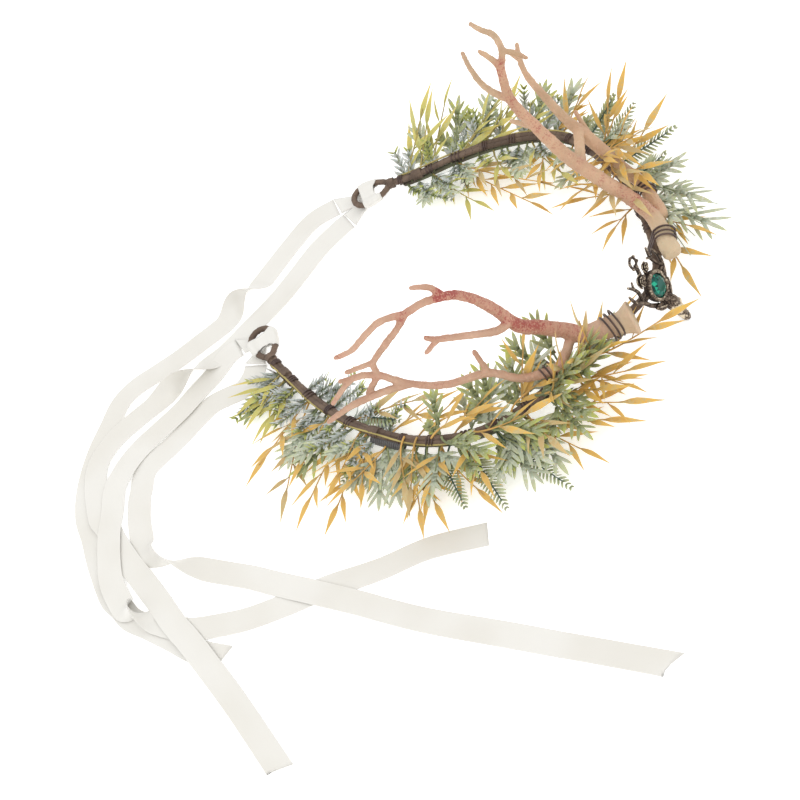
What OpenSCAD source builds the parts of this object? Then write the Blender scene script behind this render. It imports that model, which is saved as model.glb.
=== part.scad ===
// Woodland circlet: a tape-wound wire band with two leaf garlands, two branching
// antlers, a stag brooch with a faceted stone, and satin ribbon tails.
// X runs to the wearer's left, Y to the back of the head and Z up. The circlet lies
// on a table at Z = 0, with its front raised on the stag's muzzle.

/* [Band] */
// Radius of the tape-wound band
band_r = 1.9; // [1.4:0.1:2.2]
// Radius of the wire in the two end loops
loop_wire_r = 1.4; // [1.0:0.1:1.6]
// Length of an end loop, from its neck to its tip
loop_len = 17; // [14:0.5:20]
// Width of an end loop between wire centres
loop_w = 11; // [10:0.5:13]

/* [Leaves] */
// Radius of the stem that carries a garland
stem_r = 1.1; // [0.9:0.1:1.3]
// Radius of a twig
twig_r = 0.5; // [0.4:0.05:0.6]
// Width of a willow leaf
willow_w = 2.8; // [2:0.1:3.4]
// Length of a willow leaf
willow_len = 12; // [9:0.5:14]
// Thickness of every leaf
leaf_t = 0.9; // [0.7:0.1:1.2]

/* [Antlers] */
// Factor on the thickness of the antlers
antler_girth = 1; // [0.85:0.01:1.1]

/* [Brooch] */
// Width of the oval stone
gem_w = 9.4; // [8:0.1:10]
// Height of the oval stone
gem_h = 10.4; // [9:0.1:11]
// Backward lean of the brooch, in degrees from the band's own plane
brooch_lean = 14; // [10:1:18]

/* [Ribbons] */
// Width of the satin ribbon
ribbon_w = 10.5; // [9:0.5:11]
// Thickness of the ribbon as a solid
ribbon_t = 1; // [0.8:0.1:1.2]

/* [Rest] */
// Tilt of the circlet on the table, with its front up
rest_tilt = 4; // [3.8:0.1:4.2]

/* [Hidden] */

// Clear gap between neighbouring pieces
gap = 0.3;
// Height of the band's centre line in its own plane
band_z = 3;
// Point about which the circlet tilts, and how far it is lifted there
pivot_y = 90;
lift = 1.72;
// Centre of the whole outline without the ribbon tails
centre_x = -4.87;
centre_y = 10.9;

// The band seen from above: from each loop's neck round to the front
right_arm = [[-37, 92], [-49, 74], [-59, 55], [-67, 34], [-71, 10], [-68, -12], [-59, -29],
    [-45, -42], [-30, -51], [-16, -60], [-4, -68], [7, -73]];
left_arm = [[57, 69], [63, 56], [72, 42], [80, 26], [85, 8], [85, -8], [79, -22], [70, -35],
    [58, -49], [43, -60], [30, -68], [18, -73]];
// Headings of the two loops, in degrees from X towards Y
right_loop_heading = 41;
left_loop_heading = 126;

// Vector helpers
function unit(v) = v / max(norm(v), 0.000001);
function blend(a, b, t) = a + (b - a) * t;
function flat(lists) = [for (l = lists) each l];

// A smooth curve through points, with n steps to a span
function span_at(p, i, t) =
    let (a = p[max(i - 1, 0)], b = p[i], c = p[i + 1], d = p[min(i + 2, len(p) - 1)])
    0.5 * (2 * b + (c - a) * t + (2 * a - 5 * b + 4 * c - d) * t * t
        + (3 * b - 3 * c + d - a) * t * t * t);
function smooth(p, n) =
    concat([for (i = [0 : len(p) - 2]) for (k = [0 : n - 1]) span_at(p, i, k / n)],
        [p[len(p) - 1]]);

// Place and direction at distance s along a polyline
function walk(p, s, i = 0) =
    let (step = norm(p[i + 1] - p[i]))
    s <= step || i >= len(p) - 2
        ? [blend(p[i], p[i + 1], s / step), unit(p[i + 1] - p[i])]
        : walk(p, s - step, i + 1);

// Ring frames carried along a path without twist
function tangents(p) =
    [for (i = [0 : len(p) - 1]) unit(p[min(i + 1, len(p) - 1)] - p[max(i - 1, 0)])];
function first_side(t) = unit(cross(t, abs(t.z) < 0.9 ? [0, 0, 1] : [1, 0, 0]));
function carried(t, sides, i = 1) =
    i >= len(t) ? sides
        : carried(t, concat(sides, [unit(sides[i - 1] - t[i] * (sides[i - 1] * t[i]))]), i + 1);

// Faces of a tube with the given rings and sides
function tube_faces(rings, n) = concat(
    [[for (k = [0 : n - 1]) k]],
    [[for (k = [0 : n - 1]) (rings - 1) * n + n - 1 - k]],
    flat([for (i = [0 : rings - 2]) for (k = [0 : n - 1])
        let (a = i * n + k, b = i * n + (k + 1) % n)
        [[a, a + n, b + n], [a, b + n, b]]]));

// A round bar through points, with a radius at each
module bar(p, r, sides) {
    t = tangents(p);
    s = carried(t, [first_side(t[0])]);
    points = [for (i = [0 : len(p) - 1]) for (k = [0 : sides - 1])
        let (a = 360 * (k + 0.5) / sides)
        p[i] + r[i] * (cos(a) * s[i] + sin(a) * cross(t[i], s[i]))];
    polyhedron(points, tube_faces(len(p), sides));
}

// A bar of one radius
module wire(p, r, sides) bar(p, [for (q = p) r], sides);

// A small faceted knuckle that rounds a joint
module knuckle(p, r) hull() translate(p) sphere(r, $fn = 5);

// A folded leaf blade from base to tip: its ridge lies on the line between them
module leaf(base, tip, width, thick, face) {
    along = unit(tip - base);
    side = unit(cross(along, face));
    out = cross(side, along);
    mid = blend(base, tip, 0.42);
    polyhedron([base, tip, mid + side * width / 2 - out * thick, mid - side * width / 2 - out * thick],
        [[0, 1, 2], [0, 3, 1], [0, 2, 3], [1, 3, 2]]);
}

// Moves a piece from the circlet's own plane to where it lies on the table
module as_laid() {
    translate([-centre_x, pivot_y - centre_y, 0]) rotate([-rest_tilt, 0, 0])
        translate([0, -pivot_y, lift]) children();
}

// BAND
function in_plane(p) = [for (q = p) [q.x, q.y, band_z]];
function backwards(p) = [for (i = [len(p) - 1 : -1 : 0]) p[i]];
function loop_path(neck, heading) =
    [for (a = [14 : 27.6 : 346])
        let (u = loop_len * (1 - cos(a)) / 2, w = loop_w / 2 * sin(a) * (1 - 0.25 * cos(a)))
        [neck.x + u * cos(heading) - w * sin(heading),
            neck.y + u * sin(heading) + w * cos(heading), band_z]];

band_line = smooth(in_plane(concat(right_arm, backwards(left_arm))), 2);
right_line = smooth(in_plane(right_arm), 4);
left_line = smooth(in_plane(left_arm), 4);
// The garland's stem runs under the band, in collars of tape
stem_drop = band_r + gap + stem_r;
// Where the collars stand, in mm from each loop's neck
collar_at = [14, 74, 134];
collar_w = 3;

module collar(line, s) {
    at = walk(line, s);
    ends = [at[0] - at[1] * collar_w / 2, at[0] + at[1] * collar_w / 2];
    low = [0, 0, stem_drop];
    difference() {
        hull() {
            wire(ends, band_r + 0.5, 6);
            wire([for (q = ends) q - low], stem_r + gap + 0.6, 6);
        }
        wire([for (q = [at[0] - at[1] * collar_w, at[0] + at[1] * collar_w]) q - low], stem_r + gap, 6);
    }
}

module band() {
    color("#5a463a") as_laid() {
        wire(band_line, band_r, 6);
        wire(loop_path(right_arm[0], right_loop_heading), loop_wire_r, 6);
        wire(loop_path(left_arm[0], left_loop_heading), loop_wire_r, 6);
        for (line = [right_line, left_line]) {
            for (s = collar_at) collar(line, s);
            // knotted tape at the loop's neck
            hull() wire([walk(line, 0)[0] - walk(line, 0)[1] * 3, walk(line, 5)[0]], band_r + 0.7, 6);
        }
    }
}

// GARLANDS
// Each spray: s mm from the loop's neck along the arm; side in degrees from the arm's run
// towards the front, outwards positive; rise in degrees; length in mm
right_willow = [[32, 75, 2, 37], [32, 50, 0, 56], [56, 69, 0, 44], [68, 74, 0, 43],
    [68, 54, 2, 31], [56, -33, 8, 40], [92, 62, 0, 39], [92, 52, -2, 38],
    [140, -34, 45, 30], [140, 43, -6, 41], [140, 68, -8, 36], [152, 54, -7, 38],
    [164, 51, -3, 30], [176, 21, -3, 37]];
right_miller = [[20, 98, 0, 22], [44, 78, 2, 25], [56, 91, 2, 26], [80, 69, -2, 28], [104, -100, 34, 15], [128, -98, 35, 19], [128, -72, 38, 21],
    [128, 74, -3, 31], [140, -56, 44, 19],
    [152, 91, 6, 28], [164, 38, 28, 21], [164, -70, 46, 24]];
right_juniper = [[8, 75, 0, 30], [8, 100, 8, 15], [32, 88, 5, 20], [32, -49, 14, 14],
    [44, -50, 14, 22]];
right_fern = [[56, -22, 3, 28], [116, 66, -3, 40], [128, 64, -6, 46]];
left_willow = [[8, 53, 31, 32], [20, 43, 32, 33], [32, 18, 22, 33], [44, 15, 30, 24],
    [20, -63, 2, 40], [32, -56, 1, 62], [32, -46, 6, 60], [68, -48, 5, 37], [80, 46, 36, 23],
    [104, 112, 29, 25], [152, 49, -2, 22], [164, 24, -8, 21],
    [128, -100, 4, 17], [140, -49, 6, 17]];
left_miller = [[20, -75, 4, 18], [20, -110, 3, 15], [32, 62, 31, 22], [140, 34, 0, 42], [128, 27, 4, 40], [68, 76, 18, 20], [92, 75, 15, 20]];
left_juniper = [[8, 100, 29, 15], [8, -47, 3, 34], [32, -79, 3, 24],
    [44, 80, 25, 18]];
left_fern = [[104, 92, 14, 27], [116, 77, 4, 32], [44, 50, 25, 22]];

// How far a twig first runs sideways, to clear the band
kick = 5;
// First and last bunch on each arm, in mm from the loop's neck
stem_from = 7;
right_stem_to = 178;
left_stem_to = 166;

function outwards(t, hand) = [t.y, -t.x, 0] * hand;
// Curve of a twig, as four points and a smooth line between them
function twig_line(line, hand, row) =
    let (at = walk(line, row[0]), o = outwards(at[1], hand),
        root = at[0] - [0, 0, stem_drop],
        run = at[1] * cos(row[1]) + o * sin(row[1]),
        tip = at[0] + row[3] * (run * cos(row[2]) + [0, 0, sin(row[2])]),
        turn = root + o * kick * (row[1] < 0 ? -1 : 1) + run * kick * 0.4)
    [for (t = [0 : 1 / 3 : 1.01]) blend(blend(root, turn, t), blend(turn, tip, t), t)];

// A twig that tapers along its line
module twig(line, r) bar(line, [for (i = [0 : len(line) - 1]) r * (1 - 0.12 * i)], 3);

// Place and direction at a share of a twig's length
function place(line, t) = let (x = t * (len(line) - 1), i = min(floor(x), len(line) - 2))
    blend(line[i], line[i + 1], x - i);
function heading(line, t) = let (i = min(floor(t * (len(line) - 1)), len(line) - 2))
    unit(line[i + 1] - line[i]);

// A leaf on a twig, turned sideways and lifted by angles in degrees
module side_leaf(line, t, turn, lift_by, length, width) {
    run = heading(line, t);
    level = unit(cross([0, 0, 1], run));
    face = cross(run, level);
    to = run * cos(turn) * cos(lift_by) + level * sin(turn) * cos(lift_by) + face * sin(lift_by);
    base = place(line, t) + face * 0.12;
    leaf(base, base + to * length, width, leaf_t, face);
}

module willow_spray(line, length) {
    twig(line, twig_r);
    pairs = length > 26 ? 2 : 1;
    for (i = [0 : pairs - 1]) for (s = [-1, 1])
        side_leaf(line, 0.34 + 0.56 * (i + (s + 1) / 4) / pairs, s * 32, s * 10,
            willow_len * (0.75 + 0.2 * i / pairs), willow_w);
    side_leaf(line, 0.9, 0, 4, willow_len * 0.85, willow_w);
}

module miller_spray(line, length) {
    twig(line, twig_r);
    side_leaf(line, 0.45, 38, 8, length * 0.42, 3.6);
    side_leaf(line, 0.6, -38, 2, length * 0.38, 3.6);
    side_leaf(line, 0.84, -6, 6, length * 0.3, 3.4);
}

module juniper_spray(line, length) {
    twig(line, twig_r * 1.4);
    side_leaf(line, 0.42, 34, 8, 8, 2.8);
    side_leaf(line, 0.62, -34, 8, 8, 2.8);
    side_leaf(line, 0.84, 6, 2, 7, 2.8);
}

module fern_spray(line, length) {
    twig(line, twig_r);
    count = round(length / 10) + 1;
    for (i = [0 : count - 1]) {
        t = 0.42 + 0.5 * i / (count - 1);
        base = place(line, t);
        run = heading(line, t);
        level = unit(cross([0, 0, 1], run)) * 5 * sin(50 + 110 * i / (count - 1));
        leaf(base - level, base + level, 3.4, leaf_t, [0, 0, 1]);
    }
    side_leaf(line, 0.92, 0, 0, 5, 2);
}

module foliage(line, hand, to, willow, miller, juniper, fern) {
    color("#8a9a5a") wire([for (s = concat([for (k = [stem_from : 12 : to - 4]) k], [to]))
        walk(line, s)[0] - [0, 0, stem_drop]], stem_r, 6);
    color("#e4a83e") for (row = willow) willow_spray(twig_line(line, hand, row), row[3]);
    color("#7f9b7c") for (row = miller) miller_spray(twig_line(line, hand, row), row[3]);
    color("#96aaa5") for (row = juniper) juniper_spray(twig_line(line, hand, row), row[3]);
    color("#465f50") for (row = fern) fern_spray(twig_line(line, hand, row), row[3]);
}

// What the leaves keep clear of: the band, its collars, the ties, antlers and brooch, grown by the gap
module clearance(line, ties, limbs) {
    wire(in_plane_line(line), band_r + gap, 6);
    for (s = collar_at) let (at = walk(line, s), ends = [at[0] - at[1] * 1.95, at[0] + at[1] * 1.95])
        difference() {
            hull() {
                wire(ends, band_r + 0.8, 6);
                wire([for (q = ends) q - [0, 0, stem_drop]], stem_r + gap + 0.9, 6);
            }
            wire([for (q = [at[0] - at[1] * 3, at[0] + at[1] * 3]) q - [0, 0, stem_drop]],
                stem_r + 0.05, 6);
        }
    for (t = ties) wire(t, tie_r + gap, 4);
    antler(limbs, gap);
    brooch_block();
}
function in_plane_line(line) = [for (i = [0 : 3 : len(line) - 1]) line[i]];

module garland_right() {
    as_laid() difference() {
        foliage(right_line, 1, right_stem_to, right_willow, right_miller, right_juniper, right_fern);
        clearance(right_line, [right_front_tie, right_rear_tie], right_limbs);
    }
}

module garland_left() {
    as_laid() difference() {
        foliage(left_line, -1, left_stem_to, left_willow, left_miller, left_juniper, left_fern);
        clearance(left_line, [left_front_tie, left_rear_tie], left_limbs);
    }
}

// ANTLERS
// Each limb: rows of x, y, z and radius in mm, in the circlet's own plane
right_limbs = [
    // main beam from its cut root up to the crown
    [[-11, -72, 9, 6.5], [-13, -69, 9, 4.8], [-17, -63, 10, 4.3], [-22, -57, 13, 3.7],
        [-24, -51, 18, 3.3], [-29, -45, 27, 3], [-34, -41, 35, 2.8], [-36, -37, 48, 2.4],
        [-39, -34, 59, 2.1], [-44, -32, 69, 1.9], [-49, -31, 75, 1.8]],
    [[-49, -31, 75, 1.6], [-48, -26, 79, 1.3], [-50, -20, 81, 1]],
    [[-49, -31, 75, 1.7], [-53, -24, 76, 1.6], [-57, -17, 74, 1.6]],
    [[-57, -17, 74, 1.5], [-62, -8, 75, 1.4], [-69, -1, 72, 1.3], [-73, 2, 71, 1.2], [-76, 8, 70, 1]],
    [[-57, -17, 74, 1.5], [-62, -13, 70, 1.4], [-66, -8, 66, 1.4], [-70, -1, 59, 1.3], [-71, 0, 52, 1.3]],
    [[-70, -1, 59, 1.2], [-76, 8, 60, 1]],
    // side tine with a forked end
    [[-35, -40, 40, 2], [-42, -38, 43, 1.7], [-49, -33, 50, 1.5], [-57, -24, 58, 1.3], [-60, -22, 63, 1]],
    [[-57, -24, 58, 1.2], [-62, -20, 56, 1]],
    // rear beam
    [[-34, -50, 8, 2.4], [-40, -43, 10, 2], [-45, -36, 14, 1.7], [-49, -28, 23, 1.7], [-61, -18, 32, 1.6],
        [-68, -9, 42, 1.5], [-71, 0, 52, 1.5]],
    [[-49, -28, 23, 1.5], [-48, -27, 36, 1]],
    [[-71, 0, 52, 1.4], [-75, 9, 54, 1.3], [-84, 16, 50, 1]],
    [[-75, 9, 54, 1.2], [-79, 11, 58, 0.9]],
    [[-68, -9, 42, 1.5], [-75, -1, 46, 1.5], [-82, 10, 46, 1.4], [-89, 19, 44, 1]],
    [[-71, 0, 52, 1.3], [-76, 5, 46, 1.3]],
    // web between the two beams at the root
    [[-24, -53, 15, 2.2], [-30, -51, 11, 2], [-35, -49, 9, 2]]];
left_limbs = [
    [[23, -79.5, 8, 4.2], [26, -77, 9, 3.9], [32, -73, 10, 3.6], [38, -67, 13, 3.2], [41, -58, 21, 3],
        [42, -50, 29, 3], [45, -38, 40, 2.9], [49, -28, 53, 2.5], [54, -19, 65, 2.1], [62, -16, 75, 1.8]],
    [[62, -16, 75, 1.6], [63, -13, 79, 1.3], [65, -8, 81, 1]],
    [[62, -16, 75, 1.6], [69, -15, 77, 1.5], [80, -6, 74, 1.4], [85, 3, 72, 1.2], [90, 10, 70, 1]],
    [[69, -15, 77, 1.4], [71, -19, 73, 1.2], [73, -21, 68, 0.9]],
    [[54, -19, 65, 1.6], [56, -12, 66, 1.5], [61, -4, 66, 1.4], [70, 5, 65, 1.2], [81, 14, 62, 1]],
    [[49, -28, 53, 1.5], [54, -14, 51, 1]],
    // rear beam
    [[41, -70, 9, 3], [49, -63, 10, 2.9], [54, -58, 12, 2.8], [58, -50, 16, 2.8], [63, -41, 22, 2.8], [67, -33, 28, 2.7],
        [70, -26, 34, 2.2], [78, -15, 41, 1.8], [84, -8, 44, 1.5], [91, -3, 46, 1.3], [98, 0, 48, 1]],
    [[63, -40, 23, 1.6], [68, -35, 25, 1.4], [76, -28, 30, 1]],
    [[91, -3, 46, 1.2], [93, 2, 49, 0.9]],
    // web between the two beams
    [[67, -32, 30, 2.2], [56, -37, 32, 2.2], [46, -42, 35, 2.2]]];

module limb(rows, grow, sides) {
    line = sides > 6 && grow == 0 ? smooth(rows, 2) : rows;
    bar([for (q = line) [q.x, q.y, q.z]], [for (q = line) antler_girth * q[3] + grow], sides);
}

module antler(limbs, grow) {
    for (rows = limbs) limb(rows, grow, rows[0][3] > 2.3 ? (grow == 0 ? 7 : 8) : 5);
    for (rows = limbs) knuckle([rows[0].x, rows[0].y, rows[0].z], rows[0][3] > 4 ? 3 : rows[0][3] * 1.1 + grow);
}

module antler_right() color("#d9a07c") as_laid() antler(right_limbs, 0);
module antler_left() color("#d9a07c") as_laid() antler(left_limbs, 0);

// BROOCH, drawn face up with X across and Y up its face
brooch_at = [6, -76.7, 3];
gem_at = [0.8, 3.6, 1.6];
bezel_wall = 1.1;

module on_brooch() {
    as_laid() translate(brooch_at) rotate([90 - brooch_lean, 0, 0]) children();
}
function oval(w, h, z, n) = [for (k = [0 : n - 1]) [w / 2 * cos(360 * k / n), h / 2 * sin(360 * k / n), z]];

module bezel() {
    translate(gem_at) difference() {
        translate([0, 0, -2.2]) linear_extrude(3.4)
            polygon([for (q = oval(gem_w + 2 * bezel_wall, gem_h + 2 * bezel_wall, 0, 16)) [q.x, q.y]]);
        translate([0, 0, -1.2]) linear_extrude(3)
            polygon([for (q = oval(gem_w + 0.2, gem_h + 0.2, 0, 16)) [q.x, q.y]]);
    }
}

// Stag's head: rows of across, up, out and radius
head_rows = [[0, -3.5, 1.4, 2.6], [0, -6.5, 2.6, 3.1], [0, -10, 3.4, 2.6], [0, -13.5, 3.6, 2], [0, -16, 3.2, 1.9]];
// Tines: rows of across, up, out and radius
brooch_tines = [
    [[4, -3, 0.6, 1.1], [8, 0, 0.8, 1], [11.4, 3.4, 0.8, 0.9], [13, 7.6, 1, 0.8], [12, 12.8, 1.4, 0.5]],
    [[11.4, 3.4, 0.8, 0.8], [9.6, 8, 0.8, 0.8], [8.8, 12, 1, 0.7], [10, 16.4, 1.4, 0.5]],
    [[8.8, 12, 1, 0.7], [6.8, 14, 1.4, 0.45]],
    [[-4, -3, 0.6, 1.1], [-7.4, 1.6, 0.8, 1], [-9.6, 6.6, 0.8, 0.9], [-12.6, 11, 1, 0.8], [-13.6, 16, 1.4, 0.5]],
    [[-9.6, 6.6, 0.8, 0.8], [-8, 10.8, 0.8, 0.8], [-8.8, 14.6, 1, 0.7], [-11, 18.6, 1.4, 0.5]],
    [[-8.8, 14.6, 1, 0.6], [-7.6, 17.4, 1.3, 0.45]]];
// Flowers between the tines: across, up and radius
flower_rows = [[-3.2, 12.4, 3.4], [3.4, 13, 2.4]];

module petal_flower(row) {
    translate([row[0], row[1], 0.4]) {
        for (k = [0 : 4]) rotate(72 * k + 14) hull()
            leaf([0, 0, 0.2], [row[2], 0, 0.9], row[2] * 0.95, 1.6, [0, 0, 1]);
        knuckle([0, 0, 1.3], row[2] * 0.42);
    }
}

module brooch() {
    color("#6b5847") on_brooch() {
        bezel();
        bar([for (q = head_rows) [q.x, q.y, q.z]], [for (q = head_rows) q[3]], 6);
        knuckle([0, -6, 3.2], 3.2);
        knuckle([0, -16.3, 3.2], 2);
        for (s = [-1, 1]) {
            leaf([s * 1.5, -6, 2], [s * 8.6, 0.4, 1.6], 3.4, 1.8, [0, 0, 1]);
            knuckle([s * 2.3, -7.2, 4.2], 0.9);
        }
        for (rows = brooch_tines)
            bar([for (q = rows) [q.x, q.y, q.z]], [for (q = rows) q[3]], 4);
        for (row = flower_rows) petal_flower(row);
        // ring flower on a short stalk at the top
        wire([for (a = [0 : 36 : 350]) [0.2 + 2 * cos(a), 20 + 2.2 * sin(a), 0.9]], 0.6, 5);
        wire([[-2, 12, 0.6], [-0.4, 15, 0.6], [0.1, 17.9, 0.8]], 0.8, 5);
        wire([[3.4, 13, 0.5], [2, 10, 0.4], [1.4, 8, 0.2]], 1, 5);
        wire([[-3.2, 12.4, 0.5], [-2, 9.6, 0.4], [-1, 8, 0.2]], 1.2, 5);
        wire([[-9, 6, 0.6], [-4, 5, 0.4]], 0.9, 5);
        wire([[10.4, 3.4, 0.6], [6, 4.3, 0.4]], 0.9, 5);
    }
}

// Room that the leaves leave for the brooch
module brooch_block() {
    translate(brooch_at) rotate([90 - brooch_lean, 0, 0]) translate([0, 0, -3]) hull()
        linear_extrude(7) polygon([[-7, -6], [-3, -18], [3, -18], [9, -6], [14, 2], [13, 13],
            [6, 17], [-5, 23], [-14, 17], [-10, 2]]);
}

module gem() {
    color("#14705f") on_brooch() translate(gem_at) hull() {
        translate([0, 0, -0.9]) linear_extrude(0.1)
            polygon([for (q = oval(gem_w * 0.35, gem_h * 0.35, 0, 12)) [q.x, q.y]]);
        translate([0, 0, 0.5]) linear_extrude(0.3)
            polygon([for (q = oval(gem_w - 0.1, gem_h - 0.1, 0, 12)) [q.x, q.y]]);
        translate([0, 0, 2.2]) linear_extrude(0.1)
            polygon([for (q = oval(gem_w * 0.55, gem_h * 0.55, 0, 12)) [q.x, q.y]]);
    }
}

// TIES
// Dark wire that binds each antler to the band, at its front root and at its rear beam
tie_r = 0.45;
tie_turns = 2;
tie_pitch = 1.7;

// Where a limb crosses the plane through a point, square to a direction
function crossing(rows, at, dir) = let (hits = [for (i = [0 : len(rows) - 2])
        let (p = [for (k = [0 : 2]) rows[i][k]], q = [for (k = [0 : 2]) rows[i + 1][k]],
            a = (p - at) * dir, b = (q - at) * dir)
        if (a * b <= 0) blend(p, q, a / (a - b))]) hits[0];
// Point in direction a of a cord pulled tight round circles [across, up, radius]
function tight(circles, a) = let (u = [cos(a), sin(a)],
        reach = [for (c = circles) [c.x, c.y] * u + c.z], best = search(max(reach), reach)[0],
        c = circles[best])
    [c.x, c.y] + c.z * u;
// Turns of wire round the band, the stem where it runs below, and a limb above
function tie_line(line, s, rows, limb_r, hand, stem) =
    let (at = walk(line, s), o = outwards(at[1], hand), held = crossing(rows, at[0], at[1]),
        slack = gap + tie_r + 0.4, steps = 9,
        circles = concat([[0, 0, band_r + slack], [(held - at[0]) * o, held.z - at[0].z, limb_r + slack]],
            stem ? [[0, -stem_drop, stem_r + slack]] : []))
    [for (k = [0 : tie_turns * steps]) let (q = tight(circles, 250 + 360 * k / steps))
        at[0] + at[1] * tie_pitch * (k / steps - tie_turns / 2) + q.x * o + [0, 0, q.y]];

right_front_tie = tie_line(right_line, 189, right_limbs[0], 5.1, 1, false);
right_rear_tie = tie_line(right_line, 158, right_limbs[8], 2.4, 1, true);
left_front_tie = tie_line(left_line, 171, left_limbs[0], 4, -1, false);
left_rear_tie = tie_line(left_line, 146, left_limbs[6], 3, -1, true);

module tie_right_front() color("#3c3430") as_laid() wire(right_front_tie, tie_r, 4);
module tie_right_rear() color("#3c3430") as_laid() wire(right_rear_tie, tie_r, 4);
module tie_left_front() color("#3c3430") as_laid() wire(left_front_tie, tie_r, 4);
module tie_left_rear() color("#3c3430") as_laid() wire(left_rear_tie, tie_r, 4);

// RIBBONS
// Centre of each loop's opening and where its two tails start: edge points x, y and height z
right_loop_at = [-29.5, 98.5, 3];
left_loop_at = [51.5, 76.5, 3];
hitch_w = 8;
strap_r = loop_wire_r + gap + 0.1;

// Outline of the strap that goes round both side wires of a loop, dipping between them
function strap_outline(r, dip) = concat(
    [for (a = [-90 : 36 : 90]) [loop_w / 2 + r * cos(a), r * sin(a)]],
    [[loop_w * 0.2, dip + 0.5], [0, dip], [-loop_w * 0.2, dip + 0.5]],
    [for (a = [90 : 36 : 270]) [-loop_w / 2 + r * cos(a), r * sin(a)]]);

module strap(at, turn) {
    as_laid() translate(at) rotate([90, 0, turn + 90])
        translate([0, 0, -hitch_w / 2]) linear_extrude(hitch_w) difference() {
            polygon(strap_outline(strap_r + ribbon_t, 1));
            polygon(strap_outline(strap_r, 0));
        }
}

// A flat tongue from under the strap to the edge where a tail starts
module tongue(corners) {
    translate([-centre_x, -centre_y, 0]) hull()
        for (c = corners) translate(c) cube([0.2, 0.2, ribbon_t * 0.9], center = true);
}

module ribbon_hitch_right() {
    color("#f0ecdf") {
        strap(right_loop_at, right_loop_heading);
        tongue([[-26, 101, 1.65], [-30, 97, 1.65], [-28.5, 115, 1.65], [-35.1, 106.8, 1.65]]);
        tongue([[-27, 101, 1.65], [-29.5, 98, 1.65], [-40.2, 104.7, 1.65], [-39.2, 94.4, 1.65]]);
    }
}

module ribbon_hitch_left() {
    color("#f0ecdf") {
        strap(left_loop_at, left_loop_heading);
        tongue([[55, 78, 3.3], [49.5, 74, 3.3], [50.7, 97.5, 0.5], [43.2, 90.1, 0.5]]);
        tongue([[54, 79.5, 3.3], [49, 75, 3.3], [42.9, 89, 0.5], [37.1, 80.2, 0.5]]);
    }
}

// Centre lines of the four tails on the table: rows of x, y and height
right_inner = [[-32.2, 111.2, 1.8], [-37, 115, 1.8], [-48, 118, 1.8], [-57, 122, 1.8], [-67, 126, 1.8],
    [-76, 131, 1.8], [-85, 136, 1.8], [-93, 139, 2.2], [-101, 140, 3.1], [-109, 140, 3.1],
    [-120, 136, 3.1], [-127, 134, 3.1], [-134, 131, 3.1], [-142, 127, 3.1], [-150, 122, 3.1],
    [-157, 115, 2.6], [-162, 108, 1.9], [-163, 97, 1.8], [-164, 88, 1.8], [-164, 78, 1.8],
    [-160, 66, 1.8], [-154, 53, 1], [-145, 39, 0.5], [-135, 25, 0.5], [-124, 6, 0.5],
    [-112, -11, 0.5], [-102, -33, 0.5]];
right_outer = [[-40.2, 99.5, 1.7], [-45, 99, 1.1], [-52, 101, 0.5], [-56, 106, 0.5], [-61, 112, 0.5],
    [-68, 116, 0.5], [-77, 120, 0.5], [-85, 124, 0.5], [-94, 129, 0.5], [-100, 130, 0.5],
    [-107, 128, 0.5], [-111, 127, 0.5], [-120, 123, 0.5], [-128, 118, 0.5], [-135, 112, 0.5],
    [-138, 103, 0.5], [-137, 91, 0.5], [-137, 76, 0.5], [-137, 60, 0.7], [-138, 49, 1.8],
    [-139, 27, 1.8], [-140, 10, 1.7], [-141, -4, 0.5], [-142, -22, 0.5], [-142, -52, 0.5], [-142, -80, 0.5],
    [-142, -100, 0.5], [-142, -120, 0.5]];
left_outer = [[46.6, 94.2, 0.5], [38, 103, 0.5], [25, 108, 0.5], [12, 112, 0.5], [2, 115, 0.5],
    [-8, 119, 0.5], [-17, 122, 0.5], [-24, 126, 0.5], [-32, 132, 0.5], [-41, 139, 0.5],
    [-50, 147, 0.5], [-58, 154, 0.5], [-67, 158, 0.5], [-78, 158, 0.5], [-90, 158, 0.5],
    [-100, 157, 0.5], [-109, 155, 0.5], [-117, 152, 0.5], [-124, 148, 0.5], [-132, 141, 0.5],
    [-141, 134, 0.5], [-150, 126, 0.5], [-157, 119, 0.5], [-160, 113, 0.5], [-164, 106, 0.5],
    [-166, 96, 0.5], [-169, 83, 0.5], [-172, 71, 0.5], [-172, 58, 0.5]];
left_inner = [[39.6, 84.9, 0.5], [35, 88, 0.5], [23, 94, 0.5], [10, 98, 0.5], [-4, 102.5, 0.5],
    [-15, 107.5, 0.5], [-22, 111, 0.5], [-30, 114.5, 0.5], [-38, 119, 0.5], [-46, 126, 0.5],
    [-56, 132, 0.5], [-64, 139, 0.8], [-73, 145, 1.8], [-83, 151, 1.8], [-92, 154, 1.8],
    [-100, 154, 1.8], [-108, 151, 1.8], [-116, 146, 1.8], [-123, 141, 1.8], [-127, 135, 1.8],
    [-133, 128, 1.8], [-139, 120, 1.8], [-147, 108, 2.2], [-155, 96, 3.1], [-163, 85, 3.1],
    [-169, 75, 3.1], [-177, 63, 2.6], [-188, 47, 1], [-199, 32, 0.5], [-211, 16, 0.5]];

// A flat ribbon along a centre line; the last cut can slant
module ribbon(rows, slant) {
    t = tangents([for (q = rows) [q.x, q.y, 0]]);
    last = len(rows) - 1;
    points = [for (i = [0 : last])
        let (s = cross([0, 0, 1], t[i]) * ribbon_w / 2, lag = i == last ? t[i] * slant : [0, 0, 0],
            up = [0, 0, ribbon_t / 2])
        each [rows[i] + s - lag - up, rows[i] + s - lag + up, rows[i] - s + lag + up, rows[i] - s + lag - up]];
    translate([-centre_x, -centre_y, 0]) polyhedron(points, tube_faces(last + 1, 4));
}

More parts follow.
